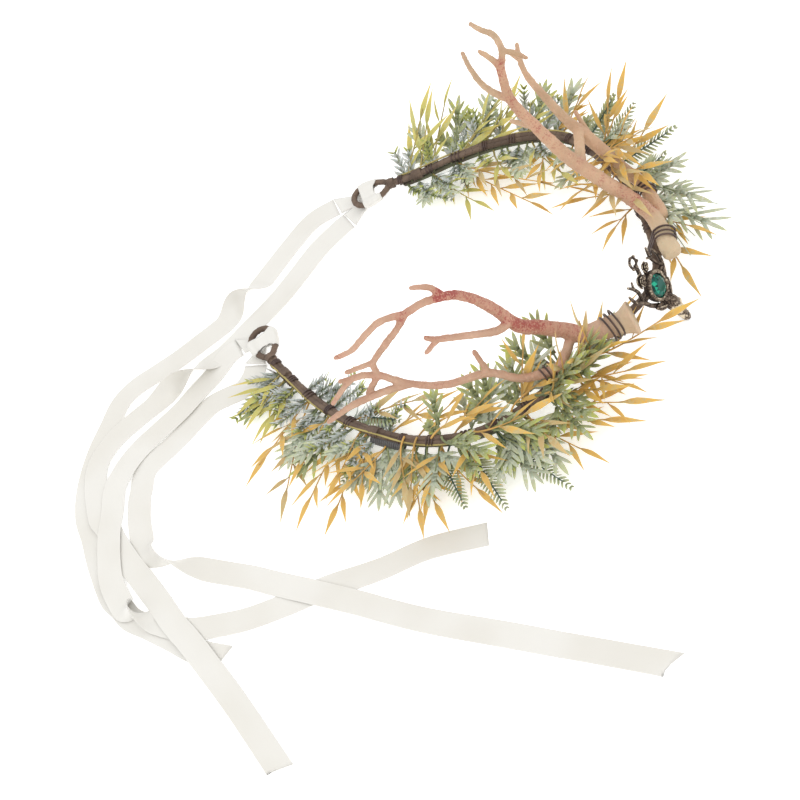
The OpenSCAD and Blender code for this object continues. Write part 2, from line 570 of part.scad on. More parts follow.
module ribbon_right_inner() color("#f0ecdf") ribbon(right_inner, 0);
module ribbon_right_outer() color("#f0ecdf") ribbon(right_outer, 4);
module ribbon_left_inner() color("#f0ecdf") ribbon(left_inner, 2);
module ribbon_left_outer() color("#f0ecdf") ribbon(left_outer, 2);

band();
garland_right();
garland_left();
antler_right();
antler_left();
brooch();
gem();
tie_right_front();
tie_right_rear();
tie_left_front();
tie_left_rear();
ribbon_hitch_right();
ribbon_hitch_left();
ribbon_right_inner();
ribbon_right_outer();
ribbon_left_inner();
ribbon_left_outer();
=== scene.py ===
"""Woodland circlet laid on a pale floor: band, garlands, antlers, stag brooch and satin ribbons."""
import logging
import math
import random
from dataclasses import dataclass, field
from enum import Enum
from typing import Iterable, Optional, Sequence

import bpy
import bmesh
from bpy.types import Node, NodeSocket, NodeTree, Object
from mathutils import Matrix, Vector, noise


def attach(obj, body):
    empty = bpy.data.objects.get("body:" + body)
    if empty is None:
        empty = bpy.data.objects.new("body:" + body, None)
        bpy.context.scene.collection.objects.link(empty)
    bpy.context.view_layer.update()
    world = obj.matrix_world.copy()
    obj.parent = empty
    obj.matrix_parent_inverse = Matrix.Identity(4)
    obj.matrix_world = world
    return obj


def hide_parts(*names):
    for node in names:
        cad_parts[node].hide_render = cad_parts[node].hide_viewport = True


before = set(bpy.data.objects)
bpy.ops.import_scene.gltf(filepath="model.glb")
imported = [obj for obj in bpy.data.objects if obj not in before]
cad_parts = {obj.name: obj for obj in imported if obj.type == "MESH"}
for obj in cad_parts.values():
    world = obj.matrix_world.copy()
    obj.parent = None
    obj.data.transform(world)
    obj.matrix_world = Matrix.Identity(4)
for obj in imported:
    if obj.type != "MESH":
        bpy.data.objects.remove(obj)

MM = 0.001
BODY = "root"
LOG = logging.getLogger("circlet")
Row = Sequence[float]
Colour = tuple[float, float, float, float]
Faces = list[tuple[int, ...]]
Inputs = dict[str | int, object]
WHITE: Colour = (1.0, 1.0, 1.0, 1.0)
UP = Vector((0, 0, 1))


def srgb(red: float, green: float, blue: float) -> Colour:
    """A colour of the screen, 0 to 255, as linear values with full alpha."""
    def line(value: float) -> float:
        """One channel made linear."""
        share = value / 255
        return share / 12.92 if share <= 0.04045 else ((share + 0.055) / 1.055) ** 2.4
    return line(red), line(green), line(blue), 1.0


def clamped(value: float) -> float:
    """The value, held between 0 and 1."""
    return min(max(value, 0.0), 1.0)


def ease(value: float) -> float:
    """A soft step from 0 to 1."""
    share = clamped(value)
    return share * share * (3 - 2 * share)


def smooth(points: Sequence[Vector], steps: int) -> list[Vector]:
    """Catmull-Rom line through points.

    Args:
        points: the points that the line passes.
        steps: pieces between two of them.

    Returns:
        The points of the finer line, with the last one kept.
    """
    out: list[Vector] = []
    for i in range(len(points) - 1):
        a, b = points[max(i - 1, 0)], points[i]
        c, d = points[i + 1], points[min(i + 2, len(points) - 1)]
        for k in range(steps):
            t = k / steps
            out.append(0.5 * (2 * b + (c - a) * t + (2 * a - 5 * b + 4 * c - d) * t * t
                              + (3 * b - a - 3 * c + d) * t ** 3))
    return out + [points[-1].copy()]


def tangents(points: Sequence[Vector]) -> list[Vector]:
    """Unit direction at each point of a line."""
    last = len(points) - 1
    return [(points[min(i + 1, last)] - points[max(i - 1, 0)]).normalized()
            for i in range(last + 1)]


def walk(points: Sequence[Vector], along: float) -> tuple[Vector, Vector]:
    """Point and direction at a length along a line."""
    for a, b in zip(points, points[1:]):
        step = (b - a).length
        if along <= step or b is points[-1]:
            return a.lerp(b, along / step), (b - a).normalized()
        along -= step
    raise ValueError("a line has two points or more")


def lengths(points: Sequence[Vector]) -> list[float]:
    """Length from the start to each point."""
    out = [0.0]
    for a, b in zip(points, points[1:]):
        out.append(out[-1] + (b - a).length)
    return out


def tapered(rows: Sequence[Row], steps: int) -> tuple[list[Vector], list[float]]:
    """Centre line and radii of a limb.

    Args:
        rows: x, y, z and radius at each of its points.
        steps: pieces between two of them.

    Returns:
        The finer line and its radii.
    """
    radii = smooth([Vector((r[3], 0, 0)) for r in rows], steps)
    return smooth([Vector(r[:3]) for r in rows], steps), [v.x for v in radii]


def beside(run: Vector) -> Vector:
    """The level direction to the right of a run."""
    return Vector((run.y, -run.x, 0))


def lattice(rows: int, wide: int, base: int = 0) -> Faces:
    """Quads between rings of points.

    Args:
        rows: how many rings there are.
        wide: points in a ring.
        base: number of the first point.

    Returns:
        The faces, ring by ring.
    """
    faces: Faces = []
    for i in range(rows - 1):
        for k in range(wide):
            a, b = base + i * wide + k, base + i * wide + (k + 1) % wide
            faces.append((a, b, b + wide, a + wide))
    return faces


def linked(name: str, data: bpy.types.ID) -> Object:
    """A new object of this data, linked to the scene."""
    made = bpy.data.objects.new(name, data)
    bpy.context.scene.collection.objects.link(made)
    return made


def mark(made: Object, name: str, series: Sequence[float], domain: str = "POINT") -> None:
    """Keeps a named value for each point or corner of a piece."""
    made.data.attributes.new(name, "FLOAT", domain).data.foreach_set("value", series)


def soften(made: Object) -> None:
    """Shades all faces of a piece smooth."""
    made.data.polygons.foreach_set("use_smooth", [True] * len(made.data.polygons))


def evaluated(made: Object) -> bpy.types.Mesh:
    """The plain mesh that an object's modifiers make."""
    bpy.context.view_layer.update()
    depsgraph = bpy.context.evaluated_depsgraph_get()
    return bpy.data.meshes.new_from_object(made.evaluated_get(depsgraph), depsgraph=depsgraph)


@dataclass
class RingFrame:
    """The circlet's own plane, in millimetres, tipped about its rear onto the table."""

    centre: tuple[float, float] = (-4.87, 10.9)
    pivot: float = 90.0
    lift: float = 1.72
    tilt: float = math.radians(4)

    def row(self, p: Row) -> Vector:
        """A point of the circlet's plane as metres in the row frame."""
        c, s = math.cos(self.tilt), math.sin(self.tilt)
        y, z = p[1] - self.pivot, p[2] + self.lift
        return self.table((p[0], y * c + z * s + self.pivot, z * c - y * s))

    def table(self, p: Row) -> Vector:
        """A point of the table's plane as metres in the row frame."""
        return Vector((p[0] - self.centre[0], p[1] - self.centre[1], p[2])) * MM

    def matrix(self) -> Matrix:
        """The same move as row(), from millimetres, as a matrix."""
        origin = self.row((0, 0, 0))
        axes = [(self.row(a) - origin) for a in ((1, 0, 0), (0, 1, 0), (0, 0, 1))]
        out = Matrix.Identity(4)
        for k in range(3):
            for j in range(3):
                out[j][k] = axes[k][j]
            out[k][3] = origin[k]
        return out


RING = RingFrame()


class Shell:
    """Vertices, faces and point values that grow into one mesh object."""

    def __init__(self) -> None:
        """Starts empty."""
        self.points: list[Vector] = []
        self.faces: Faces = []
        self.values: dict[str, list[float]] = {}

    def add(self, points: Iterable[Vector], faces: Iterable[Sequence[int]],
            **values: Sequence[float]) -> None:
        """Adds a patch.

        Args:
            points: its vertices.
            faces: its faces, by its own numbers.
            values: point values by name, one for each vertex.
        """
        base = len(self.points)
        self.points.extend(points)
        self.faces.extend(tuple(base + i for i in f) for f in faces)
        for name, series in values.items():
            kept = self.values.setdefault(name, [])
            kept.extend([0.0] * (base - len(kept)))
            kept.extend(series)

    def tube(self, line: Sequence[Vector], radii: Sequence[float], sides: int = 8,
             round_ends: bool = True, **values: Sequence[float]) -> None:
        """Adds a round tube along a line.

        Args:
            line: centre points.
            radii: radius at each point.
            sides: faces round it.
            round_ends: whether its ends are domed.
            values: point values, one for each centre point.
        """
        line, radii = list(line), list(radii)
        series = {k: list(v) for k, v in values.items()}
        if round_ends:
            run = tangents(line)
            first, last = line[0], line[-1]
            near, far = radii[0], radii[-1]
            line = [first - run[0] * near, first - run[0] * near * 0.6, *line,
                    last + run[-1] * far * 0.6, last + run[-1] * far]
            radii = [near * 0.3, near * 0.78, *radii, far * 0.78, far * 0.3]
            series = {k: [v[0], v[0], *v, v[-1], v[-1]] for k, v in series.items()}
        run = tangents(line)
        side = run[0].cross(UP if abs(run[0].z) < 0.9 else Vector((1, 0, 0))).normalized()
        points: list[Vector] = []
        for i, at in enumerate(line):
            side = (side - run[i] * side.dot(run[i])).normalized()
            up = run[i].cross(side)
            for k in range(sides):
                a = math.tau * k / sides
                points.append(at + radii[i] * (math.cos(a) * side + math.sin(a) * up))
        faces = lattice(len(line), sides)
        faces.append(tuple(reversed(range(sides))))
        faces.append(tuple(range((len(line) - 1) * sides, len(line) * sides)))
        self.add(points, faces, **{k: [v for v in s for _ in range(sides)] for k, s in series.items()})

    def strip(self, points: Sequence[Vector], wide: int, **values: Sequence[float]) -> None:
        """Adds a flat strip with two layers.

        Args:
            points: for each step along it, the points from edge to edge above, then those below.
            wide: points from edge to edge.
            values: point values.
        """
        faces: Faces = []
        end = len(points) - 2 * wide
        for a in range(0, end, 2 * wide):
            b = a + 2 * wide
            for k in range(wide - 1):
                j = wide + k
                faces += [(a + k, b + k, b + k + 1, a + k + 1), (a + j, a + j + 1, b + j + 1, b + j)]
            faces += [(a, a + wide, b + wide, b),
                      (a + wide - 1, b + wide - 1, b + 2 * wide - 1, a + 2 * wide - 1)]
        for k in range(wide - 1):
            j = wide + k
            faces += [(k, k + 1, j + 1, j), (end + k, end + j, end + j + 1, end + k + 1)]
        self.add(points, faces, **values)

    def ball(self, centre: Vector, size: Row, turn: Optional[Matrix] = None, rings: int = 8,
             sides: int = 12) -> None:
        """Adds an ellipsoid of half-sizes size, turned by turn."""
        points = [Vector((0, 0, -1))]
        for i in range(1, rings):
            e = math.pi * (i / rings - 0.5)
            points += [Vector((math.cos(e) * math.cos(math.tau * k / sides),
                               math.cos(e) * math.sin(math.tau * k / sides), math.sin(e)))
                       for k in range(sides)]
        points.append(Vector((0, 0, 1)))
        faces: Faces = [(0, 1 + (k + 1) % sides, 1 + k) for k in range(sides)]
        faces += lattice(rings - 1, sides, 1)
        top = len(points) - 1
        faces += [(top, top - sides + k, top - sides + (k + 1) % sides) for k in range(sides)]
        scale = Matrix.Diagonal(Vector(size))
        spin = (turn or Matrix.Identity(3)) @ scale
        self.add([centre + spin @ p for p in points], faces)

    def build(self, name: str, move: Optional[Matrix] = None, polished: bool = True) -> Object:
        """Makes the object.

        Args:
            name: the object's name.
            move: a matrix for its points.
            polished: whether its faces are shaded smooth.

        Returns:
            The new object, linked to the scene.
        """
        mesh = bpy.data.meshes.new(name)
        points = [move @ p for p in self.points] if move else self.points
        mesh.from_pydata([tuple(p) for p in points], [], self.faces)
        made = linked(name, mesh)
        for key, series in self.values.items():
            mark(made, key, series + [0.0] * (len(points) - len(series)))
        if polished:
            soften(made)
        mesh.update()
        return made


def settle(made: Object, nodes: Sequence[str] = ()) -> Object:
    """Hands a finished piece to the frame.

    Args:
        made: the piece.
        nodes: the CAD nodes that it stands for.

    Returns:
        The same piece.
    """
    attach(made, BODY)
    if nodes:
        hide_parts(*nodes)
    LOG.info("%s: %d vertices", made.name, len(made.data.vertices))
    return made


def fused(made: Object, voxel: float, rounds: int) -> None:
    """Melts an object's overlapping shells into one skin, kept as a plain mesh.

    Args:
        made: the object.
        voxel: grain of the skin, in the mesh's own units.
        rounds: smoothing passes.
    """
    melt = made.modifiers.new("melt", "REMESH")
    melt.mode = "VOXEL"
    melt.voxel_size = voxel
    calm = made.modifiers.new("calm", "SMOOTH")
    calm.factor, calm.iterations = 0.5, rounds
    mesh, old = evaluated(made), made.data
    made.modifiers.clear()
    made.data = mesh
    bpy.data.meshes.remove(old)
    soften(made)


def weather(made: Object, depth: float, grain: float, seed: float) -> None:
    """Roughens a skin along its normals.

    Args:
        made: the object.
        depth: how far, in the mesh's own units.
        grain: lumps to one of those units.
        seed: shift of the noise.
    """
    mesh = made.data
    shift = Vector((seed, 2 * seed, 3 * seed))
    moved: list[float] = []
    for place, normal in [(v.co.copy(), v.normal.copy()) for v in mesh.vertices]:
        rough = noise.noise(place * grain + shift) + 0.5 * noise.noise(place * grain * 2.6 + shift)
        moved += list(place + normal * depth * rough)
    mesh.vertices.foreach_set("co", moved)
    mesh.update()


# MATERIALS

class Effect(Enum):
    """Node groups that several finishes share."""

    FLECK = "fleck"
    DRIFT = "drift"
    THREAD = "thread"


EFFECTS: dict[Effect, NodeTree] = {}


class Nodes:
    """Short hand for the nodes of one tree."""

    def __init__(self, tree: NodeTree) -> None:
        """Works on a tree."""
        self.tree = tree

    def link(self, source: NodeSocket, target: NodeSocket) -> None:
        """Joins two sockets."""
        self.tree.links.new(source, target)

    def put(self, kind: str, inputs: Optional[Inputs] = None, **settings: object) -> Node:
        """Adds a node.

        Args:
            kind: its type.
            inputs: values or sockets for its inputs, by name or number.
            settings: its properties.

        Returns:
            The node.
        """
        node = self.tree.nodes.new(kind)
        for name, value in settings.items():
            setattr(node, name, value)
        for name, value in (inputs or {}).items():
            socket = node.inputs[name]
            if isinstance(value, NodeSocket):
                self.link(value, socket)
            else:
                socket.default_value = value
        return node

    def get(self, kind: str, inputs: Optional[Inputs] = None, **settings: object) -> NodeSocket:
        """Adds a node as put() does and gives its first output."""
        return self.put(kind, inputs, **settings).outputs[0]

    def group(self, effect: Effect, **inputs: object) -> Node:
        """Places a shared group; its inputs are named with _ for a space."""
        named = {key.replace("_", " "): value for key, value in inputs.items()}
        return self.put("ShaderNodeGroup", named, node_tree=EFFECTS[effect])

    def math(self, operation: str, a: object, b: object = 0.0, clamp: bool = False) -> NodeSocket:
        """Result of a sum on two values."""
        return self.get("ShaderNodeMath", {0: a, 1: b}, operation=operation, use_clamp=clamp)

    def times(self, a: object, b: object, clamp: bool = False) -> NodeSocket:
        """Product of two values."""
        return self.math("MULTIPLY", a, b, clamp)

    def plus(self, a: object, b: object) -> NodeSocket:
        """Sum of two values."""
        return self.math("ADD", a, b)

    def minus(self, a: object, b: object, clamp: bool = False) -> NodeSocket:
        """First value less the second."""
        return self.math("SUBTRACT", a, b, clamp)

    def mix(self, share: object, a: object, b: object) -> NodeSocket:
        """Blend of two colours."""
        node = self.put("ShaderNodeMix", {0: share, 6: a, 7: b}, data_type="RGBA")
        return node.outputs[2]

    def spread(self, value: object, low: float, high: float) -> NodeSocket:
        """Value stretched so that low is 0 and high is 1."""
        return self.get("ShaderNodeMapRange", {0: value, 1: low, 2: high}, interpolation_type="SMOOTHSTEP")

    def value(self, name: str) -> NodeSocket:
        """A point value of the mesh."""
        return self.put("ShaderNodeAttribute", attribute_name=name).outputs["Fac"]


def new_group(name: str, inputs: dict[str, object], output: str) -> tuple[Nodes, Node, Node]:
    """A shader group with named sockets.

    Args:
        name: the group's name.
        inputs: start value of each input; a tuple makes a colour.
        output: names of its outputs with commas; one that ends in "colour" is a colour.

    Returns:
        The group's nodes, its input node and its output node.
    """
    tree = bpy.data.node_groups.new(name, "ShaderNodeTree")
    for key, start in inputs.items():
        kind = "NodeSocketColor" if isinstance(start, tuple) else "NodeSocketFloat"
        tree.interface.new_socket(key, in_out="INPUT", socket_type=kind).default_value = start
    for key in output.split(","):
        kind = "NodeSocketColor" if key.endswith("colour") else "NodeSocketFloat"
        tree.interface.new_socket(key, in_out="OUTPUT", socket_type=kind)
    n = Nodes(tree)
    return n, n.put("NodeGroupInput"), n.put("NodeGroupOutput")


def fleck_group() -> NodeTree:
    """Small spots of paint, denser where Cover is high."""
    n, start, end = new_group("paint flecks", {"Grain": 900.0, "Cover": 0.5}, "Mask,Height")
    place, grain = n.put("ShaderNodeTexCoord").outputs["Object"], start.outputs["Grain"]
    fine = n.get("ShaderNodeTexNoise", {"Vector": place, "Scale": grain, "Detail": 3.0, "Roughness": 0.6})
    slow = n.get("ShaderNodeTexNoise", {"Vector": place, "Scale": n.times(grain, 0.16), "Detail": 2.0})
    level = n.plus(n.times(fine, 0.75), n.times(slow, 0.35))
    bar = n.minus(0.86, n.times(start.outputs["Cover"], 0.52))
    n.link(n.times(n.minus(level, bar), 9.0, clamp=True), end.inputs["Mask"])
    n.link(fine, end.inputs["Height"])
    return n.tree


def drift_group() -> NodeTree:
    """Slow change between two tones."""
    n, start, end = new_group("tone drift", {"First colour": WHITE, "Second colour": (0.5, 0.5, 0.5, 1.0),
                                             "Size": 60.0}, "Out colour")
    place = n.put("ShaderNodeTexCoord").outputs["Object"]
    slow = n.get("ShaderNodeTexNoise", {"Vector": place, "Scale": start.outputs["Size"], "Detail": 2.0})
    tone = n.mix(n.spread(slow, 0.36, 0.64), start.outputs["First colour"], start.outputs["Second colour"])
    n.link(tone, end.inputs["Out colour"])
    return n.tree


def thread_group() -> NodeTree:
    """Fine lines across a woven or wound strip, from its own lengths in metres."""
    n, start, end = new_group("fine threads", {"Along": 0.0, "Across": 0.0, "Pitch": 0.0004}, "Height")
    pitch = start.outputs["Pitch"]
    wave, weft = [n.math("SINE", n.math("DIVIDE", n.times(start.outputs[way], math.tau), pitch))
                  for way in ("Along", "Across")]
    n.link(n.plus(n.times(wave, 0.5), n.times(weft, 0.25)), end.inputs["Height"])
    return n.tree


@dataclass(frozen=True)
class Finish:
    """A finish: its name, its plain shader values, and how its nodes are laid."""

    name: str
    roughness: float = 0.5
    metallic: float = 0.0
    coat: float = 0.0
    alpha: float = 1.0
    sheen: float = 0.0
    subsurface: float = 0.0
    bump: float = 0.3
    bump_depth: float = 0.0002

    def paint(self, n: Nodes, shader: Node) -> Optional[NodeSocket]:
        """Lays the colour nodes; returns a height for the bump."""
        raise NotImplementedError

    def make(self) -> bpy.types.Material:
        """Builds the material.

        Returns:
            A new node material.
        """
        material = bpy.data.materials.new(self.name)
        material.use_nodes = True
        material.node_tree.nodes.clear()
        n = Nodes(material.node_tree)
        shader = n.put("ShaderNodeBsdfPrincipled", {
            "Roughness": self.roughness, "Metallic": self.metallic, "Coat Weight": self.coat,
            "Alpha": self.alpha, "Sheen Weight": self.sheen, "Subsurface Weight": self.subsurface})
        shader.inputs["Subsurface Scale"].default_value = 0.001
        height = self.paint(n, shader)
        if height is not None:
            raised = {"Strength": self.bump, "Distance": self.bump_depth, "Height": height}
            n.link(n.get("ShaderNodeBump", raised), shader.inputs["Normal"])
        out = n.put("ShaderNodeOutputMaterial")
        n.link(shader.outputs[0], out.inputs[0])
        return material

    def lay_on(self, made: Object) -> Object:
        """Gives the piece this finish alone."""
        made.data.materials.clear()
        made.data.materials.append(self.make())
        return made


@dataclass(frozen=True)
class Leaf(Finish):
    """Moulded leaf: pale mid-rib, tone that runs from foot to tip and differs from leaf to leaf."""

    roughness: float = 0.6
    subsurface: float = 0.06
    foot: Colour = WHITE
    middle: Colour = WHITE
    tip: Colour = WHITE
    bloom: Colour = WHITE
    edge: Colour = WHITE
    edge_share: float = 0.4
    bloom_share: float = 0.5

    def paint(self, n: Nodes, shader: Node) -> Optional[NodeSocket]:
        """Foot, middle and tip colours, a dusty bloom in patches, and a lighter rim."""
        along, across, tint = n.value("along"), n.value("across"), n.value("tint")
        warm = n.mix(n.spread(along, 0.0, 0.45), self.foot, self.middle)
        far = n.plus(along, n.times(n.minus(tint, 0.5), 0.5))
        warm = n.mix(n.spread(far, 0.45, 1.0), warm, self.tip)
        fleck = n.group(Effect.FLECK, Grain=700.0, Cover=0.6)
        patch = n.times(fleck.outputs["Mask"], n.times(tint, 2 * self.bloom_share), clamp=True)
        colour = n.mix(patch, warm, self.bloom)
        rim = n.times(n.spread(across, 0.55, 1.0), self.edge_share)
        colour = n.mix(rim, colour, self.edge)
        n.link(colour, shader.inputs["Base Color"])
        vein = n.math("SINE", n.times(n.plus(along, n.times(across, -0.22)), 55.0))
        rib = n.minus(1.0, n.spread(across, 0.0, 0.3))
        return n.plus(n.times(vein, 0.18), n.plus(rib, n.times(fleck.outputs["Height"], 0.35)))


@dataclass(frozen=True)
class Stalk(Finish):
    """Twig or stem: one tone drifting into another."""

    roughness: float = 0.6
    first: Colour = WHITE
    second: Colour = WHITE

    def paint(self, n: Nodes, shader: Node) -> Optional[NodeSocket]:
        """Drifting tone with a rough skin."""
        drift = n.group(Effect.DRIFT, First_colour=self.first, Second_colour=self.second, Size=90.0)
        n.link(drift.outputs[0], shader.inputs["Base Color"])
        fleck = n.group(Effect.FLECK, Grain=1500.0, Cover=0.4)
        return fleck.outputs["Height"]


@dataclass(frozen=True)
class Tape(Finish):
    """Crepe tape wound on wire: fine creases, and painted shade along the edge of each lap."""

    roughness: float = 0.75
    bump: float = 0.6
    bump_depth: float = 0.0003
    light: Colour = srgb(114, 95, 80)
    middle: Colour = srgb(94, 77, 65)
    # dark is the painted shade at each lap's edge, and also the tone of the tape's dark flecks
    dark: Colour = srgb(58, 47, 40)

    def paint(self, n: Nodes, shader: Node) -> Optional[NodeSocket]:
        """Painted shade along each lap's edge by the lap value, the tape's dark flecks, and creases along the
        strip.
        """
        lap = n.value("lap")
        drift = n.group(Effect.DRIFT, First_colour=self.light, Second_colour=self.middle, Size=140.0)
        fleck = n.group(Effect.FLECK, Grain=1100.0, Cover=0.45)
        # Painted shade in the step at each lap's edge, joined with the tape's own dark flecks
        shade = n.minus(1.0, n.spread(lap, 0.0, 0.22))
        shade = n.math("MAXIMUM", shade, n.times(fleck.outputs["Mask"], 0.45))
        n.link(n.mix(shade, drift.outputs[0], self.dark), shader.inputs["Base Color"])
        thread = n.group(Effect.THREAD, Along=n.value("run"), Across=n.value("round"), Pitch=0.0005)
        return n.plus(n.times(thread.outputs[0], 0.5), fleck.outputs["Height"])


@dataclass(frozen=True)
class Antler(Finish):
    """Peach moulding with coral-red flecks that gather where blush is high, and pale worn roots."""

    roughness: float = 0.6
    subsurface: float = 0.05
    bump: float = 0.8
    bump_depth: float = 0.0006
    peach: Colour = srgb(195, 160, 135)
    tan: Colour = srgb(180, 144, 119)
    red: Colour = srgb(146, 48, 46)
    wash: Colour = srgb(184, 114, 98)
    worn: Colour = srgb(222, 184, 156)
    root: Colour = srgb(198, 176, 144)

    def paint(self, n: Nodes, shader: Node) -> Optional[NodeSocket]:
        """Tone drift, paler roots, flecks by the blush value."""
        drift = n.group(Effect.DRIFT, First_colour=self.peach, Second_colour=self.tan, Size=70.0)
        base = n.mix(n.value("pale"), drift.outputs[0], self.root)
        blush = n.value("blush")
        washed = n.mix(n.times(blush, 0.5), base, self.wash)
        fleck = n.group(Effect.FLECK, Grain=1300.0, Cover=n.plus(0.28, n.times(blush, 0.5)))
        dots = n.times(fleck.outputs["Mask"], n.plus(0.1, n.times(blush, 0.75)))
        colour = n.mix(dots, washed, self.red)
        pale = n.group(Effect.FLECK, Grain=760.0, Cover=0.5)
        colour = n.mix(n.times(pale.outputs["Mask"], 0.25), colour, self.worn)
        n.link(colour, shader.inputs["Base Color"])
        return fleck.outputs["Height"]


@dataclass(frozen=True)
class Bronze(Finish):
    """Antique bronze: dark in the hollows, gold on the high spots by the worn value, which also holds a
    painted highlight.
    """

    roughness: float = 0.45
    metallic: float = 1.0
    bump: float = 0.35
    deep: Colour = srgb(56, 48, 44)
    middle: Colour = srgb(114, 100, 88)
    bright: Colour = srgb(210, 196, 172)

    def paint(self, n: Nodes, shader: Node) -> Optional[NodeSocket]:
        """Colour and gloss follow the worn value: real wear, and a painted highlight on faces turned out of
        the brooch.
        """
        fleck = n.group(Effect.FLECK, Grain=2600.0, Cover=0.5)
        # worn holds real wear and a painted highlight on faces turned out of the brooch's face
        worn = n.minus(n.value("worn"), n.times(fleck.outputs["Mask"], 0.35), clamp=True)
        mid = n.mix(n.spread(worn, 0.2, 0.6), self.deep, self.middle)
        n.link(n.mix(n.spread(worn, 0.62, 1.0), mid, self.bright), shader.inputs["Base Color"])
        rough = n.get("ShaderNodeMapRange", {0: worn, 3: 0.6, 4: 0.3})
        n.link(rough, shader.inputs["Roughness"])
        return fleck.outputs["Height"]


@dataclass(frozen=True)
class Stone(Finish):
    """Teal glass stone: each facet gets its own painted flash of light, from deep teal to bright."""

    roughness: float = 0.16
    coat: float = 0.12
    glint: float = 0.2
    deep: Colour = srgb(2, 46, 44)
    middle: Colour = srgb(6, 96, 82)
    clear: Colour = srgb(40, 166, 132)

    def paint(self, n: Nodes, shader: Node) -> Optional[NodeSocket]:
        """Facet tone by the flash value: painted flashes of light on the facets."""
        shader.inputs["Specular IOR Level"].default_value = self.glint
        flash = n.value("flash")
        # Painted facet flashes, from deep through middle to clear teal
        mid = n.mix(n.spread(flash, 0.0, 0.6), self.deep, self.middle)
        n.link(n.mix(n.spread(flash, 0.6, 1.0), mid, self.clear), shader.inputs["Base Color"])
        return None


@dataclass(frozen=True)
class Satin(Finish):
    """Ivory satin ribbon with fine cross threads and firm selvages."""

    roughness: float = 0.42
    sheen: float = 0.3
    alpha: float = 0.93
    bump: float = 0.15
    bump_depth: float = 0.00006
    ivory: Colour = srgb(226, 224, 218)
    shade: Colour = srgb(220, 217, 209)
    selvage: Colour = srgb(240, 238, 232)

    def paint(self, n: Nodes, shader: Node) -> Optional[NodeSocket]:
        """Slow tone drift, threads and selvages from the strip's own values."""
        drift = n.group(Effect.DRIFT, First_colour=self.ivory, Second_colour=self.shade, Size=22.0)
        edge = n.spread(n.value("edge"), 0.9, 1.0)
        n.link(n.mix(n.times(edge, 0.35), drift.outputs[0], self.selvage), shader.inputs["Base Color"])
        thread = n.group(Effect.THREAD, Along=n.value("run"), Across=n.value("round"), Pitch=0.00035)
        return n.plus(thread.outputs[0], n.times(edge, 1.5))


@dataclass(frozen=True)
class Lacquer(Finish):
    """Dark lacquered wire."""

    roughness: float = 0.4
    first: Colour = srgb(62, 46, 42)
    second: Colour = srgb(84, 64, 56)
    scuff: Colour = srgb(120, 96, 84)

    def paint(self, n: Nodes, shader: Node) -> Optional[NodeSocket]:
        """Brown-black drift with small scuffs."""
        drift = n.group(Effect.DRIFT, First_colour=self.first, Second_colour=self.second, Size=160.0)
        fleck = n.group(Effect.FLECK, Grain=1800.0, Cover=0.4)
        scuffed = n.mix(n.times(fleck.outputs["Mask"], 0.4), drift.outputs[0], self.scuff)
        n.link(scuffed, shader.inputs["Base Color"])
        return fleck.outputs["Height"]


@dataclass(frozen=True)
class Paper(Finish):
    """Plain pale floor, lit a little from within so that it stays white."""

    roughness: float = 0.9
    tone: Colour = srgb(254, 254, 254)
    glow: float = 0.35

    def paint(self, n: Nodes, shader: Node) -> Optional[NodeSocket]:
        """One pale tone."""
        shader.inputs["Base Color"].default_value = self.tone
        shader.inputs["Emission Color"].default_value = WHITE
        shader.inputs["Emission Strength"].default_value = self.glow
        return None


GOLD = Leaf("gold leaf", foot=srgb(172, 138, 78), middle=srgb(208, 168, 86), tip=srgb(220, 176, 80),
    bloom=srgb(192, 172, 122), edge=srgb(222, 194, 114), edge_share=0.35, bloom_share=0.6)
TAN = Leaf("tan leaf", roughness=0.65, foot=srgb(150, 126, 84), middle=srgb(186, 162, 112),
    tip=srgb(204, 176, 118), bloom=srgb(190, 178, 136), edge=srgb(210, 192, 144), edge_share=0.3)
LIME = Leaf("yellow-green leaf", foot=srgb(142, 142, 80), middle=srgb(188, 180, 98),
    tip=srgb(216, 194, 102), bloom=srgb(188, 188, 136), edge=srgb(210, 202, 122))
GREEN = Leaf("green leaf", foot=srgb(104, 112, 74), middle=srgb(143, 151, 106), tip=srgb(176, 182, 92),
    bloom=srgb(170, 176, 152), edge=srgb(176, 184, 98), edge_share=0.5, bloom_share=0.7)
PALE = Leaf("pale green leaf", foot=srgb(136, 144, 120), middle=srgb(170, 177, 154),
    tip=srgb(184, 190, 148), bloom=srgb(194, 199, 184), edge=srgb(190, 196, 156), bloom_share=0.7)
SILVER = Leaf("silver needle", roughness=0.65, subsurface=0.04, foot=srgb(132, 140, 118),
    middle=srgb(178, 184, 178), tip=srgb(198, 202, 200), bloom=srgb(206, 210, 210),
    edge=srgb(172, 180, 156), bloom_share=0.8)
SCALE = Leaf("scaly green tip", roughness=0.65, subsurface=0.04, foot=srgb(122, 132, 84),
    middle=srgb(166, 173, 102), tip=srgb(194, 197, 102), bloom=srgb(174, 181, 142),
    edge=srgb(194, 199, 110), bloom_share=0.6)
FERN = Leaf("fern leaflet", subsurface=0.04, foot=srgb(92, 104, 76), middle=srgb(136, 147, 110),
    tip=srgb(174, 181, 142), bloom=srgb(170, 177, 152), edge=srgb(164, 173, 126))
GOLD_STALK = Stalk("gold twig", first=srgb(206, 162, 88), second=srgb(178, 142, 78))
LIME_STALK = Stalk("olive twig", first=srgb(178, 162, 98), second=srgb(152, 138, 82))
GREEN_STALK = Stalk("green twig", first=srgb(134, 142, 100), second=srgb(110, 118, 84))
HAIR = Stalk("pale hair", first=srgb(176, 182, 158), second=srgb(160, 168, 142))
COIL = Stalk("dark coil", roughness=0.5, first=srgb(92, 90, 90), second=srgb(62, 58, 58))
FERN_STALK = Stalk("fern stem", roughness=0.5, first=srgb(52, 76, 66), second=srgb(70, 92, 78))
STEM = Stalk("bundle stem", roughness=0.65, first=srgb(92, 96, 70), second=srgb(70, 60, 48))
